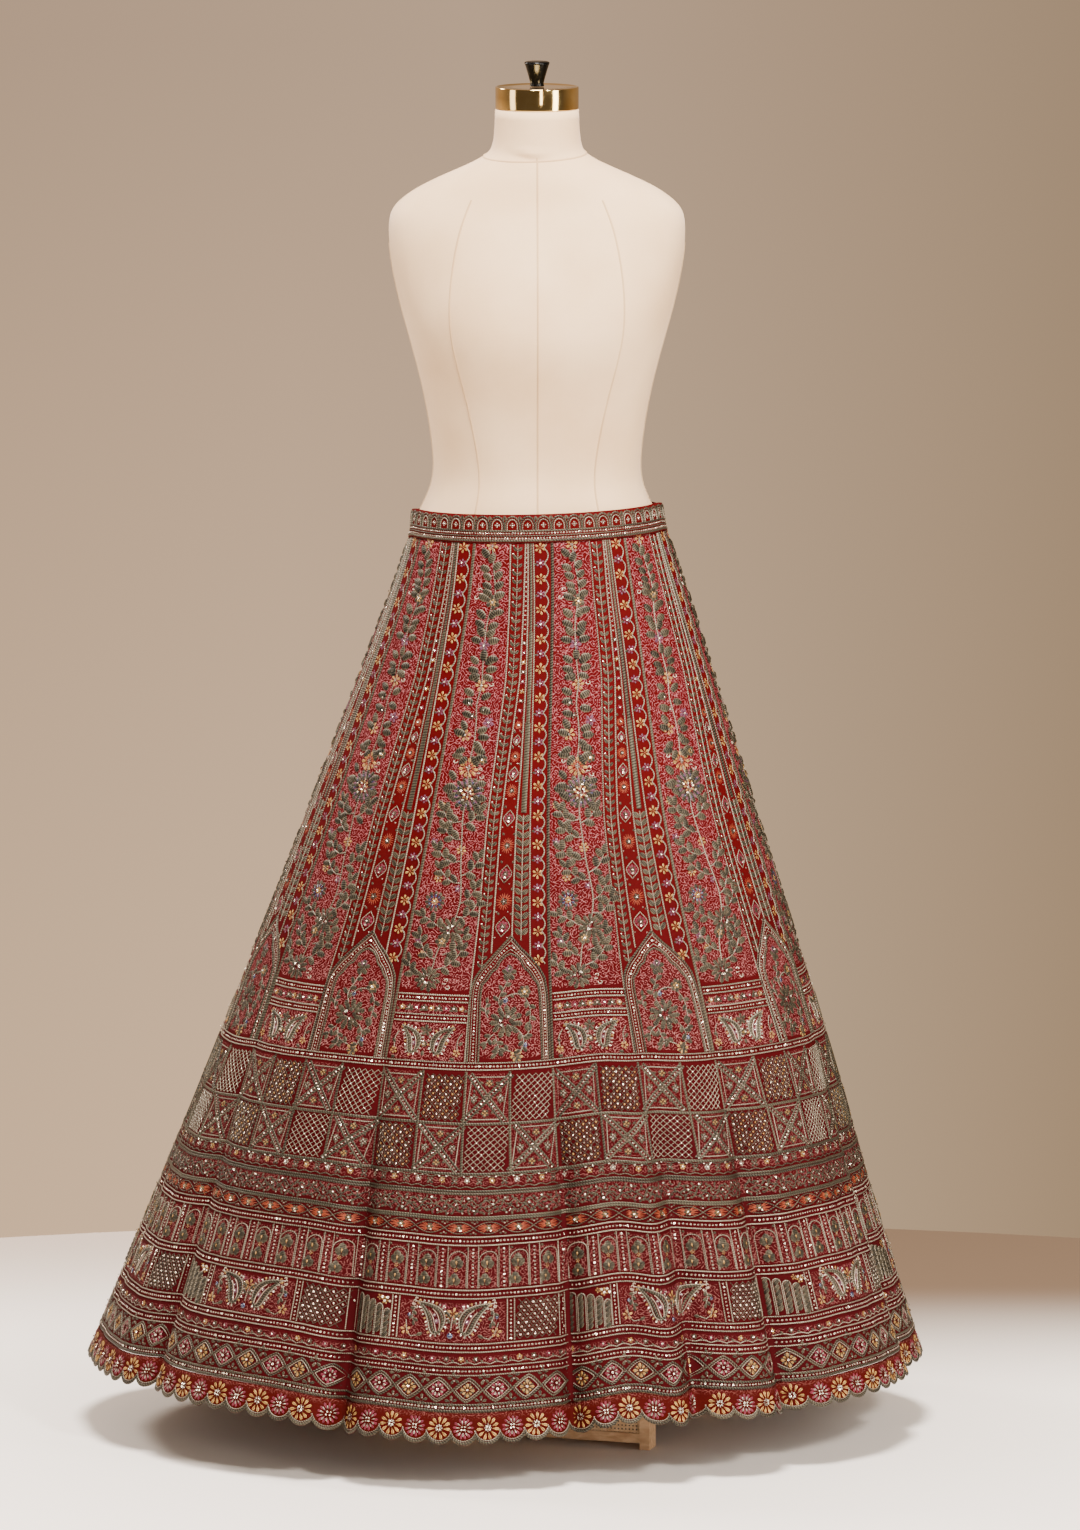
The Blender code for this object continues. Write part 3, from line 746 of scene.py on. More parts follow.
def between(one, other, share, count=24):
    """A path part of the way between two others."""
    one, other = (np.asarray(p, float) for p in (one, other))
    t = np.linspace(0, 1, count)
    pick = lambda p: np.stack([np.interp(t, np.linspace(0, 1, len(p)), p[:, i]) for i in (0, 1)], -1)
    return pick(one) * (1 - share) + pick(other) * share


def arch(gore):
    """The cusped arch at the foot of the strips, with its flowering stem."""
    for outer, inner in ((ARCH_OUTER, ARCH_INNER), (ARCH_OUTER_RIGHT, ARCH_INNER_RIGHT)):
        outer, inner = from_right(outer), from_right(inner)
        gore.lay(braid, outer, width=2.6, height=1.4, step=5)
        gore.lay(braid, inner, width=2.4, height=1.4, step=4)
        gore.lay(pale, between(outer, inner, 0.25), width=1.0, height=0.7, step=5)
        gore.lay(pale, between(outer, inner, 0.76), width=1.0, height=0.7, step=5)
        gore.bead_row(between(outer, inner, 0.5), pitch=3.8, size=2.5)

    def at(r, y):
        return float(gore_width(y) - r * MM), y

    gore.flower(leaves, *at(47, 0.513), 5, 9, 6, turn=-72, hollow=0.1)
    small_flower(gore, *at(47, 0.508), mauve, 4.5, 6)
    olive_flower(gore, *at(30, 0.536), 8)
    for rows, length, pitch in (
        ((at(57, 0.556), at(60, 0.545), at(54, 0.532), at(48, 0.520)), 8.5, 10),
        ((at(58, 0.550), at(50, 0.541), at(40, 0.538), at(32, 0.540)), 5.0, 30),
        ((at(30, 0.543), at(25, 0.552), at(24, 0.562), at(25, 0.574)), 8.0, 11),
        ((at(38, 0.582), at(33, 0.590), at(33, 0.600), at(38, 0.610)), 8.5, 9),
        ((at(34, 0.590), at(29, 0.588), at(26, 0.583)), 8.0, 9),
        ((at(66, 0.586), at(71, 0.590), at(75, 0.597)), 8.0, 7),
        ((at(64, 0.588), at(62, 0.597), at(60, 0.604)), 8.0, 7),
        ((at(47, 0.607), at(57, 0.604), at(64, 0.609)), 8.0, 9),
        ((at(72, 0.566), at(75, 0.558), at(73, 0.549)), 7.0, 8),
    ):
        gore.sprig(rows, length, pitch)
    olive_rose(gore, *at(52, 0.571), 38)
    for r, y, turn in ((52, 0.546, 20), (31, 0.600, 200)):
        x, y = at(r, y)
        gore.sew(stones, "stone", x, y, turn, 6.5, 5.0, 2.0, 0.4)
        for i in range(5):
            angle = math.radians(72 * i)
            gore.sew(beads, "bead", *around(x, y, angle, 4.4), length=1.4)
    gore.flower(cream, *at(41, 0.612), 7, 7.5, 3.2, "drop", turn=-60, hollow=0.2)
    gore.flower(leaves, *at(41, 0.614), 5, 6, 4, turn=120, hollow=0.2)


def paisley(gore, tip, belly, radius, fringe=5.2, lean=1):
    """A paisley: a pale outline, a dark body with mauve flowers, and a fringe of bright drops."""
    tip, belly = np.array(tip), np.array(belly)
    axis = belly - tip
    length = np.linalg.norm(axis)
    axis = axis / length
    across = np.array([-axis[1], axis[0]])
    reach = length + radius * MM
    round_from = length / reach
    rounding = round_from + (1 - round_from) * np.sin(np.linspace(0.2, 1.57, 7))
    t = np.concatenate([np.linspace(0, round_from, 9), rounding])
    end = np.clip((t - round_from) / (1 - round_from), 0, 1)
    half = radius * MM * np.where(t < round_from, np.sin(math.pi / 2 * t / round_from), np.sqrt(1 - end**2))
    bend = -lean * 0.24 * length * np.sin(math.pi * t)
    middle = tip + np.outer(t * reach, axis) + np.outer(bend, across)

    def ring(share):
        reach_out = np.outer(half * share, across)
        return np.concatenate([middle + reach_out, (middle - reach_out)[::-1]])

    outline = ring(1.0)
    gore.lay(pale, outline, width=1.6, height=1.4, step=2.5)
    gore.lay(braid, ring(0.66)[1:-1], width=3.6, height=1.6, step=2.5)
    gore.lay(beads, ring(0.30)[4:-4], width=1.0, height=1.2, step=2.5)
    for share, size in ((0.55, 0.5), (0.72, 0.8)):
        x, y = tip + axis * reach * share + across * np.interp(share, t, bend)
        gore.flower(mauve, x, y, 6, radius * 0.36 * size, 2.0, hollow=0.1, lift=0.6)
        gore.sew(sequins, "sequin", x, y, length=2.0, lift=1.2)
    lengths = run_lengths(outline)
    core = tip + axis * reach * 0.55 + across * np.interp(0.55, t, bend)
    count = int(lengths[-1] / (3.9 * MM))
    for i in range(1, count):
        spot = i / count * lengths[-1]
        x, y = np.interp(spot, lengths, outline[:, 0]), np.interp(spot, lengths, outline[:, 1])
        nearest = middle[np.argmin(np.linalg.norm(middle - (x, y), axis=1))]
        dx, dy = np.array([x, y]) - (nearest * 0.65 + core * 0.35)
        turn = math.degrees(math.atan2(dx, -dy))
        gore.sew((beads, cream, sequins, beads)[i % 4], "drop", x, y, turn, fringe, 2.2, 1.6, 0.3)


def box_panel(gore):
    """Left of the arch: two bead lines, a strip of small flowers between them, and two paisleys."""
    for y in (0.5405, 0.5485, 0.5645, 0.5725):
        gore.level(pale, y, 2.5 * MM, float(strip("chain", y)) - 1 * MM)
    for y in (0.5445, 0.5685):
        gore.bead_row([(3 * MM, y), (float(strip("chain", y)) - 2 * MM, y)], pitch=3.8)
    right = float(strip("chain", 0.5565)) - 4 * MM
    count = 9
    for i in range(count):
        x = 6 * MM + (right - 6 * MM) * (i + 0.5) / count
        if i % 2:
            gore.flower(leaves, x, 0.5565, 5, 4.2, 2.8)
            gore.sew(sequins, "sequin", x, 0.5565, length=2.4, lift=1.0)
        else:
            small_flower(gore, x, 0.5565, magenta if i % 4 else cream, 3.4)
            for side in (-1, 1):
                gore.leaf(x + side * 3.5 * MM, 0.5595, side * 70, 4.0, 2.6)
    left, wide = 4 * MM, float(strip("chain", 0.597)) - 8 * MM
    fit = wide / (86 * MM)

    def at(x, y):
        return left + x * fit * MM, 0.5755 + y * MM

    paisley(gore, at(11, 3), at(25, 27), 8.4, 4.0, lean=1)
    paisley(gore, at(74, 3), at(60, 27), 8.4, 4.0, lean=-1)
    gore.flower(leaves, *at(41, 8), 5, 7, 4.5, turn=-72, hollow=0.1)
    olive_flower(gore, *at(41, 24), 4)
    for x, turn in ((4, 10), (80, -10)):
        gore.lay(pale, smoothed([at(x + 4, 10), at(x, 18), at(x + 1, 30)]), width=1.2, step=4)
        gore.flower(cream, *at(x + 1, 33), 5, 4.5, 2.6, "drop", turn=180 + turn)
        gore.leaf(*at(x + 2, 24), -turn * 5, 6, 3.6)
    for x, y, turn in ((3, 41, 80), (80, 41, -80), (41, 38, 0)):
        gore.leaf(*at(x, y), turn, 6, 3.8)


def flower_strip(gore):
    """The strip next to the seam: cream and mauve flowers, with a wavy pale line beside them."""
    pitch = 17.6 * MM
    end = 0.498
    for i in range(int((end - 0.004) / pitch) + 1):
        y = 0.006 + pitch * i
        x = float(gore_width(y)) - 12.9 * MM
        if i % 2 == 0:
            gore.flower(cream, x, y, 6, 6.4, 2.5, "drop", turn=chance.normal(0, 6), hollow=0.16)
            gore.sew(orange, "bead", x, y, length=1.9, height=1.2, lift=0.6)
        else:
            gore.flower(mauve, x, y, 6, 5.2, 2.2, "drop", turn=chance.normal(0, 8))
            gore.flower(magenta, x, y, 5, 3.0, 1.4, "drop", turn=30, lift=0.6)
            gore.sew(sequins, "sequin", x, y, length=2.4, lift=0.9)
            gore.leaf(x - 3 * MM, y + 1 * MM, -100, 4.0, 2.4)
    y = np.arange(0.002, end + 0.006, 2.2 * MM)
    wave = np.abs(np.sin(math.pi * (y - 0.006) / pitch)) ** 0.7
    gore.lay(pale, np.stack([gore_width(y) - (9.8 - 5.4 * wave) * MM, y], -1), width=1.4, height=0.9,
             step=2.2)


def leaf_chain(gore, middle, start, end, pitch, length, breadth, thread=leaves, bright=True):
    """Pairs of leaves up both sides of a stem, with a bright bead over each left leaf."""
    for i in range(int((end - start) / (pitch * MM))):
        y = start + (i + 0.8) * pitch * MM
        x = float(middle(y))
        for side in (-1, 1):
            gore.sew(thread, "leaf", x + side * 0.9 * MM, y, side * 44, length, breadth, breadth * 0.34,
                     0.1)
        if bright and i % 3 != 2:
            gore.sew(sequins if i % 2 else beads, "bead", x - 5.2 * MM, y - 6.2 * MM, length=2.2, lift=0.2)
    gore.run(pale, middle, start, end, width=1.2, height=0.9, lift=0.1)


def medallion_strip(gore):
    """Beads and small flowers above, then medallions by turns orange-rayed and crimson."""
    def middle(y):
        return (strip("medallions", y) + strip("braid", y)) / 2

    for i in range(19):
        y = 0.006 + 0.0055 * i
        gore.sew(beads, "bead", float(middle(y)), y, length=2.2)
    for i in range(8):
        y = 0.116 + 0.0115 * i
        small_flower(gore, float(middle(y)), y, (leaves, magenta, cream)[i % 3], 3.0, 4)
    for y, kind in (
        (0.214, "orange"), (0.232, "crimson"), (0.2515, "orange"), (0.272, "crimson"), (0.2925, "orange"),
        (0.3255, "crimson"), (0.3587, "orange"), (0.393, "crimson"), (0.4265, "orange"), (0.457, "crimson"),
    ):
        x = float(middle(y))
        half = float(strip("braid", y) - strip("medallions", y)) / 2 / MM - 1.6
        tall = min(half * 1.25, 12.5)
        if kind == "orange":
            for i in range(18):
                angle = math.radians(20 * i)
                gore.sew(orange, "ray", x + math.sin(angle) * half * 0.42 * MM,
                         y - math.cos(angle) * tall * 0.42 * MM,
                         20 * i, half * 0.55, 0.9, 0.5, 0.1)
            small_flower(gore, x, y, leaves, half * 0.45, 5)
        else:
            for side in (-1, 1):
                bow = smoothed([(x, y - tall * MM), (x + side * half * 0.85 * MM, y), (x, y + tall * MM)])
                gore.lay(pale, bow, width=0.9, height=0.6, step=3)
            gore.flower(magenta, x, y, 8, half * 0.72, half * 0.34, hollow=0.35, lift=0.1)
            small_flower(gore, x, y, leaves, half * 0.42, 5)
            gore.sew(sequins, "sequin", x, y + half * 0.5 * MM, length=2.8, lift=0.8)
        for side in (-1, 1):
            gore.leaf(x + side * half * 0.7 * MM, y - (tall + 2.0) * MM, side * 30, 3.6, 2.4)
            gore.sew(beads, "bead", x + side * half * 0.75 * MM, y + (tall + 1.0) * MM, length=1.8)


def upper_gore(gore):
    gore.run(braid, gore_width, 0.001, UPPER_END, width=3.6, height=1.6)
    for name, end in (("flowers", 0.495), ("braid", 0.4735), ("medallions", 0.489), ("chain", UPPER_END)):
        gore.run(pale, lambda y, name=name: strip(name, y), 0.001, end, width=1.6, height=1.0)

    def braid_middle(y):
        return (strip("braid", y) + strip("flowers", y)) / 2

    y = np.arange(0.001, 0.322, 6 * MM)
    for start, end, width in ((0, 18, 3.0), (17, 36, 4.4), (35, 54, 6.0)):
        part = y[start:end]
        gore.lay(braid, np.stack([braid_middle(part), part], -1), width=width, height=1.2)
    leaf_chain(gore, braid_middle, 0.322, 0.474, 9.8, 10.0, 6.0, bright=False)
    leaf_chain(gore, lambda y: (strip("chain", y) + strip("medallions", y)) / 2, 0.002, 0.508, 9.2, 6.6,
               3.6)
    medallion_strip(gore)
    flower_strip(gore)
    vine_panel(gore)
    arch(gore)
    box_panel(gore)


# The bead lines between the lower bands, as (top, bottom)
BEAD_LINES = {
    "above checks": (0.6198, 0.6278),
    "above arcade": (0.8185, 0.8280),
    "above paisleys": (0.8785, 0.8880),
    "below paisleys": (0.9390, 0.9480),
    "above zigzag": (0.9645, 0.9740),
}


def bead_line(gore, top, bottom):
    """Two pale cords with a row of beads between."""
    gore.level(pale, top, width=1.5, height=1.1)
    gore.level(pale, bottom, width=1.5, height=1.1)
    middle = (top + bottom) / 2
    gore.bead_row([(0, middle), (gore_width(middle), middle)], pitch=4.0, size=2.7, bright=13)


def crossed_square(gore, left, right, top, bottom):
    """Two pairs of braids crossing, with beads between, and a flower in each triangle left over."""
    for start, end in (((left, top), (right, bottom)), ((right, top), (left, bottom))):
        start, end = np.array(start), np.array(end)
        aside = end - start
        aside = np.array([-aside[1], aside[0]]) / np.linalg.norm(aside) * 2.5 * MM
        for way in (-1, 1):
            gore.lay(braid, [start + aside * way, end + aside * way], width=2.6, height=1.2, step=8)
        gore.bead_row([start, end], pitch=4.2, size=2.2, bright=6)
    x, y = (left + right) / 2, (top + bottom) / 2
    half_wide, half_tall = (right - left) / 2 - 3.2 * MM, (bottom - top) / 2 - 3.2 * MM
    for way in (-1, 1):
        edge_x, edge_y = x + way * half_wide, y + way * half_tall
        gore.lay(pale, [(x - half_wide * 0.85, edge_y), (x + half_wide * 0.85, edge_y)], width=1.2)
        gore.lay(pale, [(edge_x, y - half_tall * 0.85), (edge_x, y + half_tall * 0.85)], width=1.2)
    for dx, dy in ((0, -0.31), (0, 0.31), (-0.31, 0), (0.31, 0)):
        spot_x, spot_y = x + dx * (right - left), y + dy * (bottom - top)
        gore.flower(leaves, spot_x, spot_y, 5, 5.0, 3.2, turn=chance.random() * 70)
        gore.flower((beads, cream)[dx == 0], spot_x, spot_y, 4, 3.2, 2.0, "drop", lift=0.7)
        for side in (-1, 1):
            gore.leaf(spot_x + (side * 6.5 if dy else 0) * MM, spot_y + (side * 6.5 if dx else 0) * MM,
                      side * (70 if dy else 20), 4.6, 2.6)


def lattice(columns, rows):
    """The first and last crossing, in cells, of every line of a diamond lattice."""
    for way in (-1, 1):
        for k in range(-rows, columns + rows + 1):
            cells = [(k + way * j, j) for j in range(rows + 1) if 0 <= k + way * j <= columns]
            if len(cells) > 1:
                yield cells[0], cells[-1]


def net_square(gore, left, right, top, bottom, gold):
    """A diamond net, of gold drops or of fine pale lines with beads where they cross."""
    step = 7.6 * MM
    columns = max(2, round((right - left - 4 * MM) / step))
    rows = max(2, round((bottom - top - 4 * MM) / step))
    x0, y0 = left + 2 * MM, top + 2 * MM
    dx, dy = (right - left - 4 * MM) / columns, (bottom - top - 4 * MM) / rows
    for (i0, j0), (i1, j1) in lattice(columns, rows):
        path = [(x0 + i0 * dx, y0 + j0 * dy), (x0 + i1 * dx, y0 + j1 * dy)]
        gore.lay(braid if gold else pale, path, width=0.8, height=0.8, step=10)
    for i in range(2 * columns - 1):
        for j in range(2 * rows - 1):
            x, y = x0 + (i + 1) * dx / 2, y0 + (j + 1) * dy / 2
            inside = (i + j) % 2 == 1
            if gold and inside and chance.random() < 0.94:
                thread = (beads, cream, beads, sequins, cream)[(i * 3 + j) % 5]
                gore.sew(thread, "drop", x, y + 1.5 * MM, chance.normal(0, 12), 3.1, 2.1, 1.0, 0.3)
            elif not gold and not inside and chance.random() < 0.8:
                gore.sew(sequins if chance.random() < 0.35 else beads, "bead", x, y, length=1.9, lift=0.4)


CHECK_ROWS = (
    (0.6320, 0.6895, ("cross", "gold", "cross", "silver")),
    (0.6915, 0.7465, ("gold", "cross", "silver", "cross")),
)


def checks(gore):
    for top, bottom, kinds in CHECK_ROWS:
        for i, kind in enumerate(kinds):
            width = float(gore_width((top + bottom) / 2))
            left, right = width * i / 4 + 1.6 * MM, width * (i + 1) / 4 - 1.6 * MM
            if kind == "cross":
                crossed_square(gore, left, right, top + 1 * MM, bottom - 1 * MM)
            else:
                net_square(gore, left, right, top, bottom, kind == "gold")
            gore.run(braid, lambda y, i=i: gore_width(y) * (i + 1) / 4, top - 2 * MM, bottom + 1 * MM,
                     width=3.0,
                     height=1.3)
        gore.level(braid, bottom + 1 * MM, width=3.2, height=1.3)


def flower_bands(gore):
    """Below the checks: small flowers, a dense trellis and a band of orange-rayed medallions."""
    width = float(gore_width(0.757))
    for i in range(16):
        x = width * (i + 0.5) / 16
        if i % 2:
            gore.flower(leaves, x, 0.756, 4, 4.6, 3.0, turn=45)
            gore.sew(beads, "bead", x, 0.756, length=2.2, lift=0.8)
        else:
            small_flower(gore, x, 0.755, cream if i % 4 else beads, 3.6)
            for side in (-1, 1):
                gore.sew(sequins, "sequin", x + side * 4 * MM, 0.7505, length=2.0, lift=0.3)
    x = np.linspace(0, width, 97)
    bow = 2.4 * MM * np.abs(np.sin(math.pi * x / width * 16))
    gore.lay(braid, np.stack([x, 0.7640 - bow], -1), width=1.3, step=2.6)
    gore.lay(braid, np.stack([x, 0.7490 + bow], -1), width=1.3, step=2.6)
    for y in (0.7670, 0.7700, 0.7965, 0.7990):
        gore.level(braid, y, width=2.6, height=1.2)
    width = float(gore_width(0.7835))
    for row, y0 in enumerate((0.7765, 0.7835, 0.7905)):
        count = 28
        for i in range(count):
            x = width * (i + 0.5 * (row % 2) + 0.25) / count
            turn = (i * 67 + row * 40) % 360
            gore.leaf(x, y0, turn, 4.6, 2.6)
            gore.leaf(x, y0, turn + 130, 4.2, 2.4)
            if (i + row) % 2 == 0:
                gore.sew((beads, magenta, beads)[i % 3], "bead", x + 2 * MM, y0 + 1.5 * MM, length=2.2,
                         lift=0.5)
            if (i * 3 + row) % 5 == 0:
                gore.sew(sequins, "sequin", x - 2 * MM, y0 - 1.5 * MM, length=2.4, lift=0.5)
    x = np.linspace(0, width, 85)
    for row, y0 in enumerate((0.7800, 0.7870)):
        wave = np.sin(2 * math.pi * x / width * 14 + row * 1.6)
        gore.lay(braid, np.stack([x, y0 + wave * 3.0 * MM], -1), width=1.3, height=0.9, step=3)
    count = 7
    width = float(gore_width(0.808))
    pitch = width / count
    for i in range(count):
        x, y = pitch * (i + 0.5), 0.8085
        for k in range(14):
            side = 1 if k < 7 else -1
            angle = side * (54 + 12 * (k % 7))
            spot = around(x, y, math.radians(angle - 90), 3.2)
            gore.sew(orange, "ray", *spot, angle, 9.5 - abs(k % 7 - 3) * 0.9, 0.95, 0.5, 0.1)
        gore.flower(leaves, x, y, 6, 4.6, 2.4, turn=30, lift=0.3)
        small_flower(gore, x, y, cream, 2.6, 6)
        gore.sew(sequins, "sequin", x + 2 * MM, y + 3 * MM, length=2.4, lift=1.0)
        for way in (-1, 1):
            t = np.linspace(-1, 1, 9)
            bow = np.stack([x + t * pitch * 0.5, y + way * (1 - t**2) * 6.6 * MM], -1)
            gore.lay(braid, bow, width=1.2, height=0.8, step=4)
            gore.sew(beads, "bead", x + pitch / 2, y + way * 5 * MM, length=2.2)
            for side in (-1, 1):
                gore.leaf(x + pitch / 2 + side * 1 * MM, y + way * 6.4 * MM, side * 90, 3.4, 2.0)


def bud(gore, x, y, size):
    """A three-lobed olive bud with a cream heart."""
    for turn, share in ((-68, 0.9), (68, 0.9), (0, 1.15)):
        gore.flower(leaves, x, y, 1, size * share, size * 1.0, "leaf", turn=turn, hollow=0.05)
    for turn in (-118, 118):
        gore.flower(leaves, x, y, 1, size * 0.7, size * 0.7, "leaf", turn=turn, hollow=0.1)
    gore.sew(cream, "drop", x, y + size * 0.1 * MM, 0, size * 0.55, 2.0, 1.2, 1.6)


def arcade(gore):
    """The row of small round arches, two buds in each, with bead columns between."""
    count = 7
    top, bottom = 0.8295, 0.8765
    for i in range(count):
        def across(y, share, i=i):
            return float(gore_width(y)) * (i + share) / count

        for share in (0.17, 0.83):
            gore.lay(pale, [(across(top, share), top), (across(bottom, share), bottom)], width=1.1,
                     height=1.0)
        gore.bead_row([(across(top, 0), top + 1 * MM), (across(bottom, 0), bottom)], pitch=4.0, size=2.6)
        x, y = across(0.84, 0.5), 0.8405
        half = float(gore_width(y)) / count * 0.30
        t = np.linspace(-1, 1, 11)
        turned = t * math.pi / 2
        ring = np.stack([x + np.sin(turned) * half, y + 4 * MM - np.cos(turned) * half * 0.95], -1)
        foot = bottom - 1 * MM
        left_foot, right_foot = (across(foot, 0.21), foot), (across(foot, 0.79), foot)
        gore.lay(pale, np.concatenate([[left_foot], ring, [right_foot]]), width=1.1, height=1.0, step=3)
        bud(gore, x, 0.8495, 9.4)
        bud(gore, x, 0.8690, 8.8)
        gore.daisy(x, 0.8560, cream, 2.4, 5)
        for side in (-1, 1):
            gore.leaf(x + side * half * 0.8, 0.8325, side * 70, 3.6, 2.4)


def paisley_row(gore):
    """From the left: five fingers of leaves, a pair of paisleys, and a beaded lattice."""
    top, bottom = 0.8900, 0.9370
    tall = bottom - top

    def across(y, share):
        return float(gore_width(y)) * share

    for share in (0.225, 0.745, 0.985):
        gore.bead_row([(across(top, share), top), (across(bottom, share), bottom)], pitch=4.0, size=2.6)
        for aside in (-0.016, 0.016):
            gore.lay(pale, [(across(top, share + aside), top), (across(bottom, share + aside), bottom)],
                     width=1.4)
    for i in range(5):
        share = 0.022 + 0.038 * i
        head = top + (2 + (0, 2, 5, 9, 14)[i]) * MM
        left, right = across(head, share), across(head, share + 0.032)
        low_left, low_right = across(bottom, share), across(bottom, share + 0.032)
        t = np.linspace(-1, 1, 7)
        crown = np.stack([(left + right) / 2 + np.sin(t * math.pi / 2) * (right - left) / 2,
                          head + 4 * MM - np.cos(t * math.pi / 2) * 4 * MM], -1)
        gore.lay(pale, np.concatenate([[(low_left, bottom)], crown, [(low_right, bottom)]]), width=1.2,
                 step=3)
        rows = int((bottom - head) / (6.2 * MM))
        for j in range(rows):
            y = head + (j + 1.1) * 6.2 * MM
            gore.leaf((left + right) / 2 - 2.4 * MM, y + 1 * MM, 42, 9.0, 6.4)
    gore.daisy(across(top, 0.178), top + 7 * MM, cream, 5.0, 6)
    gore.daisy(across(top, 0.150), top + 4 * MM, cream, 3.4, 5)
    for k in range(4):
        gore.sew(sequins, "sequin", across(top, 0.165 + 0.012 * k), top + (4 + 4 * (k % 2)) * MM,
                 length=3.0, lift=1.0)
    left, wide = across(0.9135, 0.250), across(0.9135, 0.470)
    fit = wide / (132 * MM)

    def at(x, y):
        return left + x * fit * MM, top + y * MM

    paisley(gore, at(21, 4), at(43, 29), 10.4, 4.6, lean=1)
    paisley(gore, at(111, 4), at(89, 29), 10.4, 4.6, lean=-1)
    for side, x0 in ((1, 0), (-1, 132)):
        for dx, dy, way in ((13, 7, 1), (21, 4, -1)):
            gore.scroll(*at(x0 + side * dx, dy), side * way, 8.0)
        gore.sprig([at(x0 + side * 20, 9), at(x0 + side * 15, 16), at(x0 + side * 17, 26)], 6.5, 7)
        gore.sew(stones, "stone", *at(x0 + side * 11, 20), 20, 4.6, 3.8, 1.8, 0.4)
        gore.flower(cream, *at(x0 + side * 9, 37), 5, 6, 3.0, "drop", turn=180 - side * 40)
        gore.lay(pale, smoothed([at(x0 + side * 8, 26), at(x0 + side * 13, 43), at(x0 + side * 24, 42)]),
                 width=1.2)
        gore.leaf(*at(x0 + side * 24, 42), side * 70, 7, 4)
        gore.leaf(*at(66 - side * 2, 20), -side * 45, 11, 4.6)
        gore.leaf(*at(66 - side * 2, 26), -side * 35, 7, 3.6)
        small_flower(gore, *at(66 - side * 12, 7), magenta, 3.6)
    gore.flower(cream, *at(66, 15), 5, 7.5, 3.0, "drop", turn=-60, hollow=0.1)
    gore.flower(magenta, *at(66, 13), 5, 9, 2.2, "drop", turn=-50, hollow=0.6)
    gore.lay(pale, smoothed([at(66, 18), at(66, 34)]), width=1.4)
    gore.sew(stones, "stone", *at(66, 40), 0, 6.4, 6.4, 2.6, 0.4)
    left, right = across(0.9135, 0.765), across(0.9135, 0.965)
    columns, rows = 6, 5
    dx, dy = (right - left) / columns, (tall - 2 * MM) / rows
    for (i0, j0), (i1, j1) in lattice(columns, rows):
        path = [(left + i0 * dx, top + 1 * MM + j0 * dy), (left + i1 * dx, top + 1 * MM + j1 * dy)]
        gore.lay(braid, path, width=0.9, height=0.8, step=10)
    for i in range(2 * columns - 1):
        for j in range(2 * rows - 1):
            if (i + j) % 2:
                gore.sew(sequins if chance.random() < 0.25 else beads, "bead", left + (i + 1) * dx / 2,
                         top + 1 * MM + (j + 1) * dy / 2, length=3.1, lift=0.3)


def zigzag_band(gore):
    """Diamonds in double outline, by turns magenta and cream flowers inside."""
    top, bottom = 0.9760, 1.0050
    middle, tall = (top + bottom) / 2, bottom - top
    count = 8
    width = float(gore_width(middle))
    pitch = width / count
    for i in range(count):
        x = pitch * (i + 0.5)
        for way in (-1, 1):
            t = np.linspace(-1, 1, 9)
            for inset, width_of in ((1.0, 2.2), (0.80, 1.2)):
                side = np.stack([x + t * pitch * 0.5 * inset,
                                 middle + way * (tall / 2 - 1 * MM) * inset * (1 - np.abs(t) ** 1.35)], -1)
                gore.lay(braid if inset == 1.0 else pale, side, width=width_of, height=1.0, step=3.5)
            gore.sew(beads, "bead", x + pitch / 2, middle + way * (tall / 2 - 4 * MM), length=2.6)
            gore.flower(leaves, x + pitch / 2, middle + way * (tall / 2 - 1.5 * MM), 5, 7.4, 3.4,
                        turn=60 if way < 0 else 0, hollow=0.2)
        if i % 2:
            gore.flower(magenta, x, middle, 8, 9.4, 3.0, "drop", hollow=0.35)
            gore.flower(beads, x, middle, 8, 7.4, 2.2, "drop", turn=22, hollow=0.4, lift=0.5)
        else:
            gore.flower(cream, x, middle, 4, 8.6, 3.0, "drop", hollow=0.2, lift=0.4)
            gore.flower(cream, x, middle, 4, 7.0, 2.4, "drop", turn=45, hollow=0.3)
            gore.flower(leaves, x, middle, 8, 8.6, 2.0, "drop", turn=22, hollow=0.3)
        gore.sew(sequins, "sequin", x, middle, length=3.0, lift=1.2)


def lower_gore(gore):
    bead_line(gore, *BEAD_LINES["above checks"])
    checks(gore)
    flower_bands(gore)
    bead_line(gore, *BEAD_LINES["above arcade"])
    arcade(gore)
    bead_line(gore, *BEAD_LINES["above paisleys"])
    paisley_row(gore)
    bead_line(gore, *BEAD_LINES["below paisleys"])
    width = float(gore_width(0.957))
    for i in range(16):
        x = width * (i + 0.5) / 16
        small_flower(gore, x, 0.9560, (cream, leaves, magenta, leaves)[i % 4], 3.4)
        gore.leaf(x + width / 32, 0.9600, -30, 4.4, 2.6)
    x = np.linspace(0, width, 97)
    gore.lay(pale, np.stack([x, 0.9610 - 2.6 * MM * np.abs(np.cos(math.pi * x / width * 16)) + 1 * MM], -1),
             width=1.2,
             step=2.8)
    bead_line(gore, *BEAD_LINES["above zigzag"])
    zigzag_band(gore)
    gore.level(braid, 1.0070, width=2.6, height=1.3)
    width = float(gore_width(1.0105))
    gore.bead_row([(0, 1.0105), (width, 1.0105)], pitch=4.0, size=2.8, bright=13)
    gore.level(braid, 1.0140, width=3.0, height=1.5)


